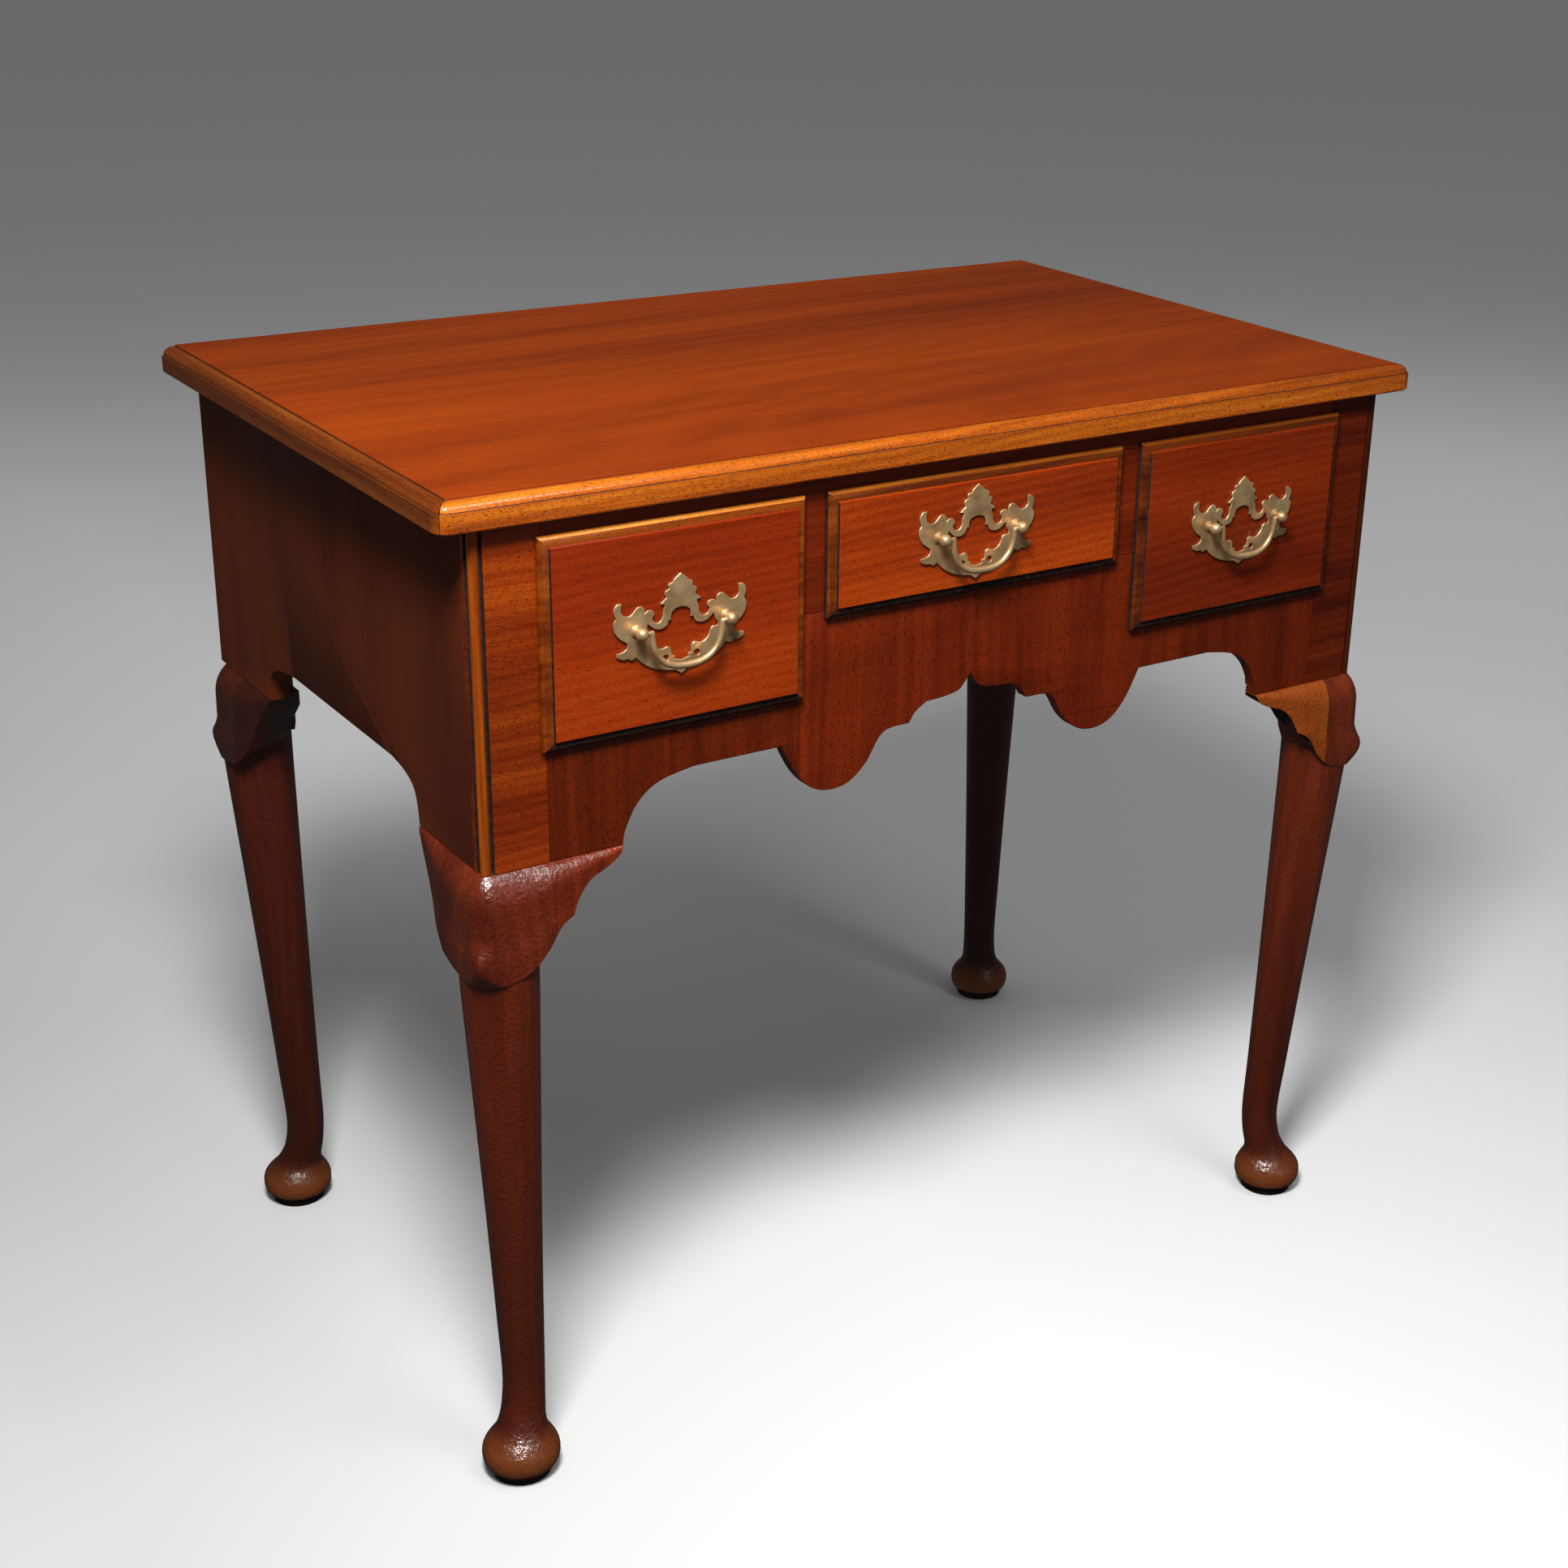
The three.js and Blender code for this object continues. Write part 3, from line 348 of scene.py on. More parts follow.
# The front apron: one board under the drawers, fretted to a pointed arch between two lobes, and
# faced with three leaves of mahogany veneer whose grain stands upright. Its pine back is cut away
# behind the edge, which looks thin.
apron_runs = [
    [(0, 1), (0.018, 0.898), (0.037, 0.832), (0.081, 0.799), (0.132, 0.788)],
    [(0.132, 0.788), (0.165, 0.706), (0.185, 0.593)],
    [(0.185, 0.593), (0.231, 0.591)],
    [(0.231, 0.591), (0.257, 0.569), (0.279, 0.493), (0.315, 0.264), (0.365, 0.102),
     (0.422, 0.065), (0.477, 0.139), (0.523, 0.338), (0.563, 0.643)],
    [(0.563, 0.643), (0.807, 0.643)],
    [(0.807, 0.643), (0.899, 0.566), (0.957, 0.404), (0.992, 0.153), (1, 0)],
]
apron_half, arch_high = 0.2726, 0.0678
lower = [(a, seat + b) for a, b in drawn(apron_runs, apron_half, arch_high)]
opening_in, opening_out, side_low, centre_low = 0.1432, 0.3245, 0.5494, 0.6025
half_outline = [*lower, (opening_out, seat), (opening_out, side_low),
                (opening_in, side_low), (opening_in, centre_low)]
apron_outline = [*((-a, b) for a, b in reversed(half_outline)), *half_outline[1:]]
apron_thick, back_thick, cut_away, glued = 0.0105, 0.0096, 0.007, 0.0001
apron = sawn("apron", apron_outline, apron_thick)
apron.data.transform(Matrix.Translation((0, front_face, 0)))
apron_back = sawn("apron_back", apron_outline, back_thick, inside=cut_away)
apron_back.data.transform(Matrix.Translation((0, front_face + apron_thick - glued, 0)))
pine_tones = ["#6d4523", "#8b6136", "#a07646", "#b28a58"]
pine_level = grained("pine_level", "X", pine_tones, (0.1, 0.4, 0.3), streaks=30, spread=0.5,
                     rough=0.8, coat=0, pores=0.25)
dress(apron_back, pine_level)
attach(apron_back, "case")
leaf_edge = 0.139
# The left leaf's darker tones are painted shade under the left drawer
leaves = (("centre", 0.8, ["#420f03", "#601a03", "#792504", "#8d3106"]),
          ("left", 0.6, ["#380d02", "#511703", "#672003", "#782b07"]),
          ("right", 0.7, ["#3b0e03", "#581803", "#702204", "#832d07"]))
cut(apron, "X", -leaf_edge, leaf_edge)
dress(apron, *(grained(f"mahogany_apron_{leaf}", "Z", tones, (shift, 0.4, 0.1), streaks=90,
                       spread=1, rough=0.36, coat=0.3, pores=0.8)
               for leaf, shift, tones in leaves))
paint(apron, 1, lambda c, n: c.x < -leaf_edge)
paint(apron, 2, lambda c, n: c.x > leaf_edge)
fit(apron, "case", "front_mahogany", "front_apron")

# The rail over the drawers and the two uprights between them: mahogany across the front, the
# uprights banded with their grain level.
rail_tones = ["#3f0f03", "#5e1a03", "#782504", "#8c3008"]
for node, place in (("top_rail", (0.5, 0, 0)), ("drawer_divider_left", (0.1, 0.6, 0)),
                    ("drawer_divider_right", (0.7, 0.3, 0))):
    strip = copy_of(node, f"front_{node}", 0.0004)
    dress(strip, grained(f"mahogany_{node}", "X", rail_tones, place, streaks=40, spread=0.8,
                         rough=0.36, coat=0.3, pores=0.5))
    fit(strip, "case", "front_mahogany", node)

# The front stiles: cross-banded with level grain, pieced low down, and a bead worked on the outer
# corner between two quirks that hold dark wax.
# The right stile's bead and bands take darker tones than the left's, as painted shade
bead_tones = {"left": ["#541c03", "#803405", "#a04a08", "#b45c10"],
              "right": ["#2a0a02", "#3a1203", "#481b05", "#542306"]}
band_tones = {"left": ["#4c1303", "#742304", "#903405", "#a54608"],
              "right": ["#3c0e03", "#561704", "#6c2105", "#7e2d07"]}
pieced, bead, quirk_from, quirk_to = 0.549, 0.0066, 0.0067, 0.0084
front_quirk_deep, side_quirk_deep = 0.004, 0.005
for name, side in (("left", -1), ("right", 1)):
    upright = copy_of(f"stile_{name}", f"front_stile_{name}", 0.0003, 30)
    cut(upright, "Z", pieced)
    bands = [grained(f"mahogany_{part}_{name}", "X", band_tones[name], place, streaks=60,
                     spread=0.6, rough=0.36, coat=0.3, pores=0.7)
             for part, place in (("band", (0.3 * side, 0.2, 0)),
                                 ("band_low", (0.4 * side, 0.5, 0.3)))]
    bead_wood = grained(f"mahogany_bead_{name}", "Z", bead_tones[name], (0, 0.3, 0.3), streaks=60,
                        spread=0.5, rough=0.3, coat=0.8, pores=0.3)
    dress(upright, *bands, bead_wood, wax_and_shade)
    paint(upright, 1, lambda c, n: c.z < pieced)
    paint(upright, 2, lambda c, n: case_half - abs(c.x) < bead and c.y - front_face < bead)
    paint(upright, 3, lambda c, n: quirk_from < case_half - abs(c.x) < quirk_to
          and c.y - front_face < front_quirk_deep)
    paint(upright, 3, lambda c, n: quirk_from < c.y - front_face < quirk_to
          and case_half - abs(c.x) < side_quirk_deep)
    fit(upright, "case", "front_mahogany", f"stile_{name}")

# The legs: each one turned from a single square of mahogany on two centres, so that the shaft leans
# in to the ankle over an outward pad foot. The knee is carved square, with a lappet and a small
# nose.


def loft(name, loops):
    """A closed skin through loops of points, made from a disc that is extruded once for each."""
    count, step = len(loops[0]), 0.01
    bpy.ops.object.select_all(action="DESELECT")
    bpy.ops.mesh.primitive_circle_add(vertices=count, radius=1, fill_type="NGON")
    piece = bpy.context.object
    piece.name = piece.data.name = name
    bpy.ops.object.mode_set(mode="EDIT")
    bpy.ops.mesh.select_all(action="SELECT")
    for _ in loops[1:]:
        bpy.ops.mesh.extrude_region_move(TRANSFORM_OT_translate={"value": (0, 0, step)})
    bpy.ops.object.mode_set(mode="OBJECT")
    for vertex in piece.data.vertices:
        turn = round(math.atan2(vertex.co.y, vertex.co.x) / (2 * math.pi) * count) % count
        vertex.co = loops[round(vertex.co.z / step)][turn]
    bpy.ops.object.mode_set(mode="EDIT")
    bpy.ops.mesh.select_all(action="SELECT")
    bpy.ops.mesh.remove_doubles(threshold=0.00001)
    bpy.ops.mesh.normals_make_consistent(inside=False)
    bpy.ops.object.mode_set(mode="OBJECT")
    piece.select_set(False)
    return piece


def smooth(piece, angle):
    """Turns a skin's faces outwards, and shades it smooth but for edges over an angle."""
    bpy.context.view_layer.objects.active = piece
    piece.select_set(True)
    bpy.ops.object.mode_set(mode="EDIT")
    bpy.ops.mesh.select_all(action="SELECT")
    bpy.ops.mesh.normals_make_consistent(inside=False)
    bpy.ops.object.mode_set(mode="OBJECT")
    bpy.ops.object.shade_smooth_by_angle(angle=math.radians(angle))
    piece.select_set(False)


knee_top, knee_height, knee_proud, knee_inner, knee_radius = 0.4696, 0.073, 0.0114, 0.043, 0.015
hidden_radius = 0.02
# Shares of the knee's height down, of how far it stands proud, and of its corner's radius. The
# knee's top rolls over in the rows above the roll's share.
roll_share = 0.36
knee_rows = [(roll_share * t, 0.03 + 0.85 * (1 - (1 - t) ** 2.8), 0.3 + 0.7 * (1 - (1 - t) ** 3))
             for t in (i / 12 for i in range(12))]
knee_rows += [(roll_share, 0.88, 1), (0.47, 0.895, 1), (0.58, 0.9, 0.95), (0.67, 0.94, 0.65),
              (0.74, 0.98, 0.3), (0.81, 1, 0.25), (0.9, 0.99, 0.6), (1, 0.97, 1.35)]
# Height, radius and the inset of the centre from the case's two faces, up the foot and shaft
sole_rows = [(0, 0.0207, 0.0185), (0.0036, 0.0209, 0.0185)]
foot_rows = [(0.0045, 0.0214, 0.0185), (0.0064, 0.0219, 0.0185), (0.0076, 0.0246, 0.0185),
             (0.0124, 0.0269, 0.0185), (0.018, 0.0273, 0.0185), (0.0233, 0.026, 0.0185),
             (0.0285, 0.0227, 0.019), (0.0334, 0.019, 0.0199), (0.0408, 0.0164, 0.0217),
             (0.0522, 0.0152, 0.0243), (0.075, 0.0148, 0.026), (0.12, 0.0161, 0.0245),
             (0.2, 0.0186, 0.0219), (0.3, 0.0223, 0.0186), (0.38, 0.0254, 0.0159)]
# The bearings of a leg's points from its middle, in degrees to each side of its outer corner
bearings = [*range(2, 30, 2), *range(30, 90, 5), *(90 + 7.5 * i for i in range(12))]
turns = [math.radians(225 + b) for b in (*(-b for b in reversed(bearings)), 0, *bearings, 180)]


def circle(inset, radius):
    """A round section of a leg, its centre inset from the case's two faces."""
    return [(inset + radius * math.cos(t), inset + radius * math.sin(t)) for t in turns]


def block(proud, radius):
    """A square's outline with its corners rounded, where each turn from its middle meets it."""
    middle, side = (knee_inner - proud) / 2, (knee_inner + proud) / 2
    made = []
    for turn in turns:
        a, b = math.cos(turn), math.sin(turn)
        r = radius if a + b < 0 else hidden_radius
        reach, straight = side / max(abs(a), abs(b)), side - r
        if a * b > 0 and min(abs(a), abs(b)) * reach > straight:
            along = abs(a + b) * straight
            reach = along + math.sqrt(along ** 2 - 2 * straight ** 2 + r ** 2)
        made.append((middle + reach * a, middle + reach * b))
    return made


def lift(a, b):
    """How far the lappet's lower edge rises away from the outer corner: more along the front."""
    way_a, way_b = (min(max(way / knee_inner, 0), 1) for way in (a, b))
    return max((0.024 - 0.012 * way_b) * way_a ** 2.9, 0.008 * way_b ** 2.9,
               0.045 * min(way_a, way_b) ** 1.5)


leg_loops = [[(a, b, z) for a, b in circle(inset, radius)]
             for z, radius, inset in (*sole_rows, *between(foot_rows, 4))]
lip_z = knee_top - knee_height
_, lip_proud, lip_radius = knee_rows[-1]
lip = block(knee_proud * lip_proud, knee_radius * lip_radius)
shaft_top = circle(0.0154, 0.026)
leg_loops.append([(a, b, lip_z + lift(*corner)) for (a, b), corner in zip(shaft_top, lip)])
for drop, proud, radius in reversed(between(knee_rows, 4)):
    loop = block(knee_proud * proud, knee_radius * max(radius, 0.1))
    leg_loops.append([(a, b, knee_top - knee_height * drop + lift(*corner) * drop)
                      for (a, b), corner in zip(loop, lip)])
# The back legs take darker copies of the tones, as painted shade
leg_tones = {"front_left": ["#3a0f04", "#561906", "#6d250a", "#80300f"],
             "front_right": ["#3a0f04", "#5a1b06", "#74290b", "#8a3511"],
             "back_left": ["#2a0b04", "#3f1207", "#521a08", "#64220b"],
             "back_right": ["#2a0b04", "#3e1106", "#501908", "#60200a"]}
legs = {}
# Over the knee, a leg goes on as a post inside the case's corner, and the base under the pad's rim
# is painted dark as shade
post_side, post_inner, rim = 0.0163, 0.0425, 0.0098
for name, side_x, side_y in (("front_left", -1, -1), ("front_right", 1, -1),
                             ("back_left", -1, 1), ("back_right", 1, 1)):
    cover, setback = (stile_deep, 0) if side_y < 0 else (0.0123, 0.007)
    post = [(min(max(a, post_side), post_inner),
             min(max(b, cover - setback), post_inner - setback)) for a, b in block(0, 0.001)]
    leg = loft(f"turned_leg_{name}", [*leg_loops, *([(a, b, z) for a, b in post]
                                                    for z in (knee_top, case_top))])
    edge_x = side_x * case_half
    edge_y = front_face if side_y < 0 else back_face - setback
    for vertex in leg.data.vertices:
        a, b, z = vertex.co
        vertex.co = (edge_x - side_x * a, edge_y - side_y * b, z)
    smooth(leg, 50)
    place = (0.2 + 0.3 * side_x, 0.1 * side_y, 0.3 * side_x)
    dress(leg, grained(f"mahogany_leg_{name}", "Z", leg_tones[name], place, streaks=30, spread=0.7,
                       rough=0.34, coat=1, pores=0.6, carved=0.5, foot=True), wax_and_shade)
    # Painted shade under the pad's rim
    paint(leg, 1, lambda c, n: c.z < rim)
    fit(leg, "case", "leg_mahogany", f"leg_{name}")
    legs[name] = leg

# The knees' ears: brackets sawn from offcuts, glued beside each knee, and carved to its face, which
# falls back towards the tip. One was replaced in a paler piece.
front_ear = [[(0, 1), (0.07, 0.885), (0.15, 0.81), (0.27, 0.75)],
             [(0.27, 0.75), (0.35, 0.56), (0.45, 0.41), (0.57, 0.31), (0.75, 0.24), (0.93, 0.13),
              (1, 0)]]
side_ear = [[(0, 1), (0.13, 0.93), (0.3, 0.79), (0.44, 0.615), (0.575, 0.453)],
            [(0.575, 0.453), (0.71, 0.323), (0.83, 0.2), (0.905, 0.108), (1, 0)]]
ear_rows = between([(drop, proud) for drop, proud, _ in knee_rows], 4)
tip_share, ear_ease = 0.12, 0.0006


def ear(name, runs, near, reach, drop_near, depth, board):
    """An ear in its own face's frame, with its length along X and its face towards -Y. It is as
    deep as the board above it at the tip, and deeper beside the knee."""
    loops = []
    edge = [(near + a, knee_top - b) for a, b in drawn(runs, reach - near, drop_near, 6)]
    edge[-1] = (edge[-1][0], knee_top - ear_ease)
    for along, low in edge:
        share = 1 + (tip_share - 1) * (along - near) / (reach - near)
        face = []
        for i in range(24):
            z = knee_top + (low - knee_top) * i / 23
            drop = (knee_top - z) / drop_near
            if drop < roll_share:
                # The top's roll is as steep as the knee's, and gets smaller towards the tip
                drop = min(drop / share, roll_share)
            row = next(k for k in range(1, len(ear_rows)) if ear_rows[k][0] >= drop - 1e-9)
            (d0, p0), (d1, p1) = ear_rows[row - 1], ear_rows[row]
            proud = share * (p0 + (p1 - p0) * (drop - d0) / (d1 - d0))
            face.append((along, -knee_proud * proud, z))
        # The face's lower edge is eased, where the face is tall enough
        face[-1] = (along, face[-1][1] + ear_ease, low)
        if low + ear_ease < face[-3][2]:
            face[-2] = (along, face[-2][1], low + ear_ease)
        # The underside rises towards the back
        rise, deep = 0.2 * (knee_top - low), min(depth, board + 1.2 * (reach - along))
        loops.append([*face, (along, deep / 2, low + rise / 2), (along, deep, low + rise),
                      (along, deep, knee_top), (along, deep / 2, knee_top)])
    return loft(name, loops)


# The ears beside the back legs take darker tones, as painted shade
ear_tones = {"front": ["#481104", "#641d05", "#7e2b07", "#90380b"],
             "front_side": ["#3a0f04", "#561906", "#6d250a", "#80300f"],
             "back_side": ["#200803", "#300d05", "#401306", "#4e1908"]}
pale_tones = ["#6b2903", "#883a05", "#9a4808", "#a8560d"]
pale_edge = 0.3425
for name, side in (("left", -1), ("right", 1)):
    for part, runs, near, reach, drop_near, depth, board, corner, shift in (
            ("front", front_ear, 0.043, 0.0984, 0.049, 0.02, 0.0104, front_face, 1.05),
            ("front_side", side_ear, 0.043, 0.095, 0.065, 0.026, 0.016, front_face, 2.1),
            ("back_side", side_ear, 0.05, 0.101, 0.065, 0.026, 0.016, back_face, 1.89)):
        piece = ear(f"knee_bracket_{part}_{name}", runs, near, reach, drop_near, depth, board)
        back = -1 if part == "back_side" else 1
        for vertex in piece.data.vertices:
            u, v, z = vertex.co
            vertex.co = ((side * (case_half - u), corner + v, z) if part == "front"
                         else (side * (case_half - v), corner + back * u, z))
        smooth(piece, 40)
        pale = (part, name) == ("front", "right")
        wood = grained(f"mahogany_{piece.name}", "Z", pale_tones if pale else ear_tones[part],
                       (0.37 * side, shift, 0.2), streaks=30, spread=0.7, rough=0.34, coat=1,
                       pores=0.6, carved=0.5)
        dress(piece, wood)
        if pale:
            # Its underside is painted dark as shade
            piece.data.materials.append(wax_and_shade)
            paint(piece, 1, lambda c, n: n.z < -0.3)
            # The paler piece runs on over the knee's front face
            knee = legs["front_right"]
            cut(knee, "X", pale_edge)
            knee.data.materials.append(wood)
            paint(knee, 2, lambda c, n: c.x < pale_edge and n.y < -0.5
                  and lip_z + lift(case_half - c.x, 0) < c.z < knee_top)
        fit(piece, "case", "ear_mahogany", f"knee_ear_{part}_{name}")

# The drawers' fronts: solid mahogany with level grain, a lip that covers the opening, and a
# moulding worked round a raised field. The upper lip's shoulder is painted paler as a highlight,
# the lower lip is painted dark as shade, and dark wax lies beside the field, left off the top where
# the light falls, which makes it painted shade as well.
field_tones = {"left": ["#641803", "#802403", "#932f04", "#a33d06"],
               "centre": ["#641a03", "#882b04", "#a53b05", "#b74d0a"],
               "right": ["#561403", "#702003", "#862a04", "#963607"]}
lip_tones = {"left": ["#4c1a04", "#6c2a05", "#873d07", "#98490b"],
             "centre": ["#3a1303", "#562004", "#743206", "#8a420a"],
             "right": ["#340f02", "#4c1b04", "#662905", "#7a3608"]}
# Pale tones painted on the upper lip's shoulder as a highlight, brightest on the left drawer,
# nearest the key light
highlight_tones = {"left": ["#96500f", "#b8681b", "#d28630", "#e8a44e"],
                "centre": ["#5c2806", "#783a0a", "#94500f", "#ac6417"],
                "right": ["#4c1f04", "#642e07", "#7c3e0a", "#8e4a10"]}
# From a front's outline: its lip, the shoulder on the upper lip, the lower lip, and the groove
# beside the field
lip_wide, shoulder, low_lip, groove_from, groove_to = 0.0063, 0.0027, 0.0066, 0.0059, 0.0069
# How far those faces stand out from the case, and how far down the groove's wax and painted shade
# start, below its lit top
lip_out, groove_out, wax_and_shade_down = 0.001, 0.005, 0.008
for drawer, place in (("left", (0.1, 0.3, 0.2)), ("centre", (0.6, 0.1, 0.4)),
                      ("right", (0.9, 0.5, 0.6))):
    front = copy_of(f"drawer_{drawer}_front", f"drawer_face_{drawer}", 0.0003, 30)
    low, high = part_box(f"drawer_{drawer}_front")
    field_wood = grained(f"mahogany_field_{drawer}", "X", field_tones[drawer], place, streaks=12,
                         spread=0.55, rough=0.36, coat=0.3, pores=0.5)
    lip_wood = grained(f"mahogany_lip_{drawer}", "X", lip_tones[drawer], place, streaks=60,
                       spread=0.5, rough=0.3, coat=1, pores=0.6)
    highlight_wood = grained(f"mahogany_painted_highlight_{drawer}", "X", highlight_tones[drawer], place,
                          streaks=60, spread=0.5, rough=0.3, coat=1, pores=0.4)
    dress(front, field_wood, lip_wood, wax_and_shade, highlight_wood)

    def inset(c):
        """How far a point lies in from the front's outline."""
        return min(c.x - low.x, high.x - c.x, c.z - low.z, high.z - c.z)

    paint(front, 1, lambda c, n: inset(c) < lip_wide)
    # The upper lip's shoulder is painted palest, as a highlight
    paint(front, 3, lambda c, n: high.z - c.z < shoulder and n.z > 0.4
          and c.y < front_face - lip_out)
    # The lower lip, the faces turned down, and on the centre and right drawers the faces turned
    # left, are painted dark as shade
    paint(front, 2, lambda c, n: c.z - low.z < low_lip)
    paint(front, 2, lambda c, n: n.z < -0.7 or n.x < -0.9 and drawer != "left")
    # Dark wax in the groove beside the field, left off its top where the light falls, so it is
    # painted shade as well
    paint(front, 2, lambda c, n: groove_from < inset(c) < groove_to
          and c.y < front_face - groove_out and c.z < high.z - wax_and_shade_down)
    fit(front, f"drawer_{drawer}", "drawer_mahogany", f"drawer_{drawer}_front")

# The drawers' boxes: thin oak boards, dovetailed and glued, with the bottom in grooves. The oak was
# left bare, and is dry, pale and dusty.
oak_tones = ["#7d5a35", "#9b774a", "#b08c5c", "#c2a071"]
oak_level, oak_deep = (grained(name, along, oak_tones, place, streaks=50, spread=0.5, rough=0.75,
                               coat=0, pores=0.4)
                       for name, along, place in (("oak_level", "X", (0.2, 0.2, 0.2)),
                                                  ("oak_deep", "Y", (0.5, 0.2, 0.4))))
for drawer in ("left", "centre", "right"):
    for part, wood in (("side_left", oak_deep), ("side_right", oak_deep), ("back", oak_level),
                       ("bottom", oak_level)):
        dress(nodes[f"drawer_{drawer}_{part}"], wood)

# The case's inner frame and back: a wide board, a rail, and the bearers and kickers that guide the
# drawers, all of pine, sawn and planed by hand, glued in, and never finished.
pine_deep = grained("pine_deep", "Y", pine_tones, (0.3, 0.1, 0.2), streaks=30, spread=0.5,
                    rough=0.8, coat=0, pores=0.25)
for node in ("back_board", "back_rail"):
    dress(nodes[node], pine_level)
for node in ("bearer_left_outer", "bearer_left_inner", "bearer_centre_left",
             "bearer_centre_right", "bearer_right_inner", "bearer_right_outer", "kicker_left",
             "kicker_right"):
    dress(nodes[node], pine_deep)

# The handles: cast brass, aged to a grey gold. A plate pierced with a file and bevelled round its
# edges, two turned ball posts, and a bail bent to a bow, whose pins turn in the balls.
brass, tree, shader, point = blank("brass_aged")
# Tarnish in patches of 12 mm, and file marks 1 mm apart
patches = add(tree, "TexNoise", {"Vector": point, "Scale": 85, "Detail": 3}).outputs["Fac"]
marks = add(tree, "TexNoise", {"Vector": point, "Scale": 900, "Detail": 2}).outputs["Fac"]
metal = add(tree, "ValToRGB", {0: patches},
            [(0.3, "#a8875c"), (0.5, "#cda97a"), (0.7, "#e8c794")]).outputs[0]
worn = add(tree, "MapRange", {0: patches, 1: 0.3, 2: 0.7, 3: 0.48, 4: 0.34}).outputs[0]
bump = add(tree, "Bump", {"Height": marks, "Strength": 0.15, "Distance": 0.0002}).outputs[0]
feed(tree, shader, {"Base Color": metal, "Metallic": 0.7, "Roughness": worn, "Normal": bump})

plate_half, plate_high, plate_thick, plate_ease = 0.0476, 0.0346, 0.0015, 0.0005
plate_runs = [
    [(0, 1), (0.055, 0.945), (0.1, 0.89), (0.115, 0.85)],
    [(0.115, 0.85), (0.17, 0.83), (0.185, 0.785), (0.17, 0.735)],
    [(0.17, 0.735), (0.225, 0.7), (0.24, 0.64), (0.215, 0.575)],
    [(0.215, 0.575), (0.305, 0.475)],
    [(0.305, 0.475), (0.235, 0.44)],
    [(0.235, 0.44), (0.262, 0.34), (0.27, 0.24), (0.31, 0.15), (0.36, 0.13), (0.41, 0.165),
     (0.43, 0.235)],
    [(0.43, 0.235), (0.395, 0.31), (0.425, 0.38), (0.49, 0.395), (0.545, 0.345)],
    [(0.545, 0.345), (0.54, 0.43), (0.58, 0.49), (0.64, 0.49), (0.69, 0.43), (0.75, 0.355),
     (0.83, 0.36), (0.885, 0.45), (0.875, 0.605)],
    [(0.875, 0.605), (0.945, 0.6), (0.995, 0.49), (0.965, 0.325)],
    [(0.965, 0.325), (1, 0.24), (0.985, 0.09), (0.92, -0.04), (0.8, -0.16)],
    [(0.8, -0.16), (0.81, -0.25), (0.87, -0.305), (0.96, -0.325)],
    [(0.96, -0.325), (0.955, -0.4), (0.87, -0.455), (0.795, -0.45)],
    [(0.795, -0.45), (0.76, -0.49), (0.71, -0.48), (0.68, -0.45)],
    [(0.68, -0.45), (0.58, -0.59), (0.44, -0.71), (0.26, -0.79), (0.09, -0.83)],
    [(0.09, -0.83), (0, -0.92)],
]
opening_runs = [
    [(0, 0.365), (0.075, 0.345), (0.13, 0.29), (0.15, 0.2), (0.145, 0.15)],
    [(0.145, 0.15), (0.185, 0.135)],
    [(0.185, 0.135), (0.22, 0.045), (0.3, 0), (0.39, 0.02), (0.455, 0.085), (0.495, 0.14)],
    [(0.495, 0.14), (0.52, 0.02), (0.56, -0.06), (0.555, -0.12)],
    [(0.555, -0.12), (0.49, -0.115), (0.45, -0.155), (0.425, -0.245), (0.38, -0.33),
     (0.32, -0.375), (0.26, -0.37), (0.205, -0.345), (0.16, -0.385), (0.15, -0.46)],
    [(0.15, -0.46), (0.14, -0.535), (0.1, -0.55), (0.105, -0.61)],
    [(0.105, -0.61), (0, -0.65)],
]


def both_halves(runs):
    """A closed outline of a plate from the runs down its right half."""
    right = drawn(runs, plate_half, plate_high, 5)
    return [*right[:-1], *((-a, b) for a, b in reversed(right[1:]))]


plate_face, pivot, pivot_up, post_across = -0.23295, -0.24095, 0.0018, 0.032
eye_across, eye_up, eye_radius = 0.0112, -0.0195, 0.0021
eyes = [[(side * eye_across + eye_radius * math.cos(a), eye_up + eye_radius * math.sin(a))
         for a in (i * math.pi / 8 for i in range(16))] for side in (-1, 1)]
# How far out of the plate, and the radius, of a post's foot, neck and ball
ball_out, ball_radius = 0.008, 0.0043
post_rows = [(0.0003, 0.0042), (0.0008, 0.0041), (0.0019, 0.0025), (0.0031, 0.0025),
             (0.0045, 0.0025)]
post_rows += [(ball_out - ball_radius * math.cos(a), ball_radius * math.sin(a))
              for a in (0.62 + 2.45 * i / 12 for i in range(13))]
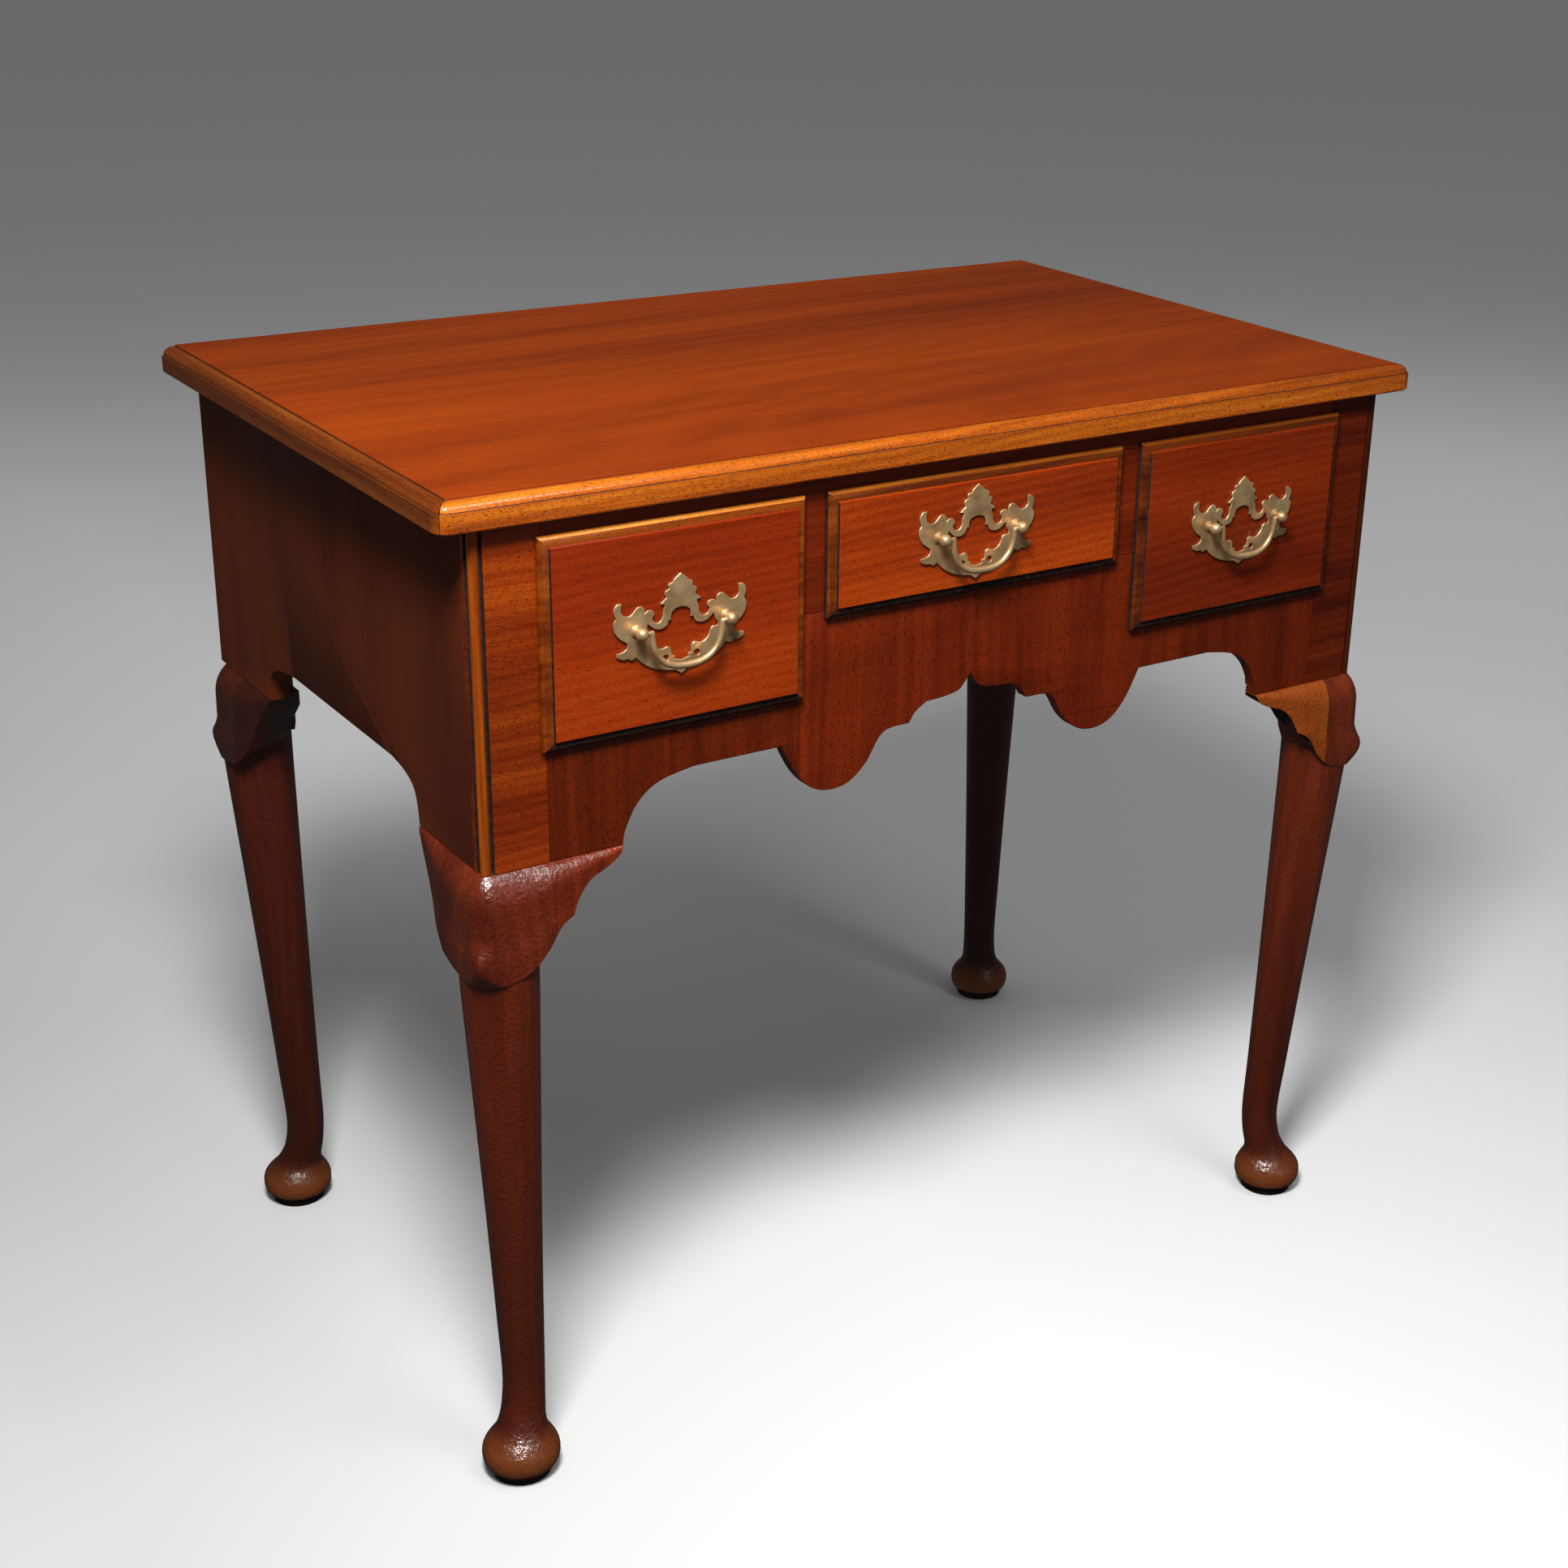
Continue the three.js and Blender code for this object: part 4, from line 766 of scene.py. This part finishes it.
# A bail is thickest in the middle, and thin where its pins turn in the balls
bow = [(1, 0), (0.985, 0.22), (0.93, 0.45), (0.82, 0.67), (0.62, 0.86), (0.34, 0.97), (0, 1)]
bow_half, bow_drop, bail_radius, pin_from, pin_to = 0.0253, 0.025, 0.0021, 0.0285, 0.0312
pin_share, bow_share, swell = 0.68, 0.9, 0.22
half_bow = drawn([bow], bow_half, bow_drop, 5)
bail_path = [(pin_to, 0), (pin_from, 0), *half_bow,
             *((-a, b) for a, b in reversed(half_bow[:-1])), (-pin_from, 0), (-pin_to, 0)]
for drawer, x, z in (("left", -0.234, 0.61475), ("centre", -0.006, 0.6413),
                     ("right", 0.234, 0.61475)):
    plate = sawn(f"pierced_plate_{drawer}", both_halves(plate_runs), plate_thick,
                 [both_halves(opening_runs), *eyes], plate_ease)
    plate.data.transform(Matrix.Translation((x, plate_face, z)))
    dress(plate, brass)
    fit(plate, f"drawer_{drawer}", "aged_brass", f"drawer_{drawer}_backplate")
    for name, side in (("left", -1), ("right", 1)):
        middle_x, middle_z = x + side * post_across, z + pivot_up
        knob = loft(f"ball_post_{drawer}_{name}",
                    [[(middle_x + r * math.cos(a), plate_face - out, middle_z + r * math.sin(a))
                      for a in (i * math.pi / 14 for i in range(28))] for out, r in post_rows])
        smooth(knob, 40)
        dress(knob, brass)
        fit(knob, f"drawer_{drawer}", "aged_brass", f"drawer_{drawer}_post_{name}")
    line = bpy.data.curves.new(f"bail_{drawer}", "CURVE")
    line.dimensions, line.use_fill_caps = "3D", True
    line.bevel_depth, line.bevel_resolution = bail_radius, 6
    spline = line.splines.new("POLY")
    spline.points.add(len(bail_path) - 1)
    for knot, (a, b) in zip(spline.points, bail_path):
        knot.co = (x + a, pivot, z + pivot_up - b, 1)
        knot.radius = (pin_share if abs(a) >= pin_from
                       else bow_share + swell * (1 - abs(a) / bow_half))
    bail = meshed(f"swan_bail_{drawer}", line)
    smooth(bail, 50)
    dress(bail, brass)
    fit(bail, f"bail_{drawer}", "aged_brass", f"drawer_{drawer}_bail")

# The studio: a wide pale floor, painted darker on the left as shade, a soft key light near the
# front left corner, weaker lights overhead and far in front, two that wash the floor behind, and a
# dim room. The wood doesn't mirror the floor, and mirrors the room more dimly than it is lit by it.
bpy.ops.mesh.primitive_plane_add(size=60, location=(0, 0, 0))
floor = bpy.context.object
floor.name = "floor"
floor.visible_glossy = False
floor.visible_diffuse = False
paper, tree, shader, point = blank("paper_floor")
across = add(tree, "SeparateXYZ", {0: point}).outputs[0]
# Painted shade: the floor's colour darkens towards the left
share = add(tree, "MapRange", {0: across, 1: -0.6, 2: 0.05, 3: 0.66, 4: 0.9}).outputs[0]
feed(tree, shader, {"Base Color": share, "Roughness": 0.9, "Specular IOR Level": 0.1})
dress(floor, paper)
for name, place, aim, size, power in (
        ("key_light", (-0.72, -0.9, 1.78), (-0.15, -0.25, 0.4), 0.4, 41),
        ("top_light", (0.5, -1.6, 3), (0, -0.2, 0.4), 1, 15),
        ("front_light", (0.6, -3.2, 1.4), (0, 0, 0.5), 0.8, 3),
        ("left_wash", (-0.4, 2, 2), (-0.4, 2.05, 0), 1, 1.1),
        ("right_wash", (2.2, 1.2, 2), (2.25, 1.2, 0), 1, 1.1)):
    lamp = bpy.data.lights.new(name, "AREA")
    lamp.size, lamp.energy = size, power
    if name.endswith("wash"):
        lamp.spread = math.radians(80)
    holder = bpy.data.objects.new(name, lamp)
    holder.location = place
    holder.rotation_euler = (Vector(place) - Vector(aim)).to_track_quat("Z", "Y").to_euler()
    stage.collection.objects.link(holder)
stage.world = bpy.data.worlds.new("room")
stage.world.use_nodes = True
sky = stage.world.node_tree
mirrored = add(sky, "LightPath", {}).outputs["Is Glossy Ray"]
dim = add(sky, "MapRange", {0: mirrored, 3: 0.155, 4: 0.025}).outputs[0]
feed(sky, sky.nodes["Background"], {"Color": (1, 1, 1, 1), "Strength": dim})
stage.view_settings.view_transform = "Standard"
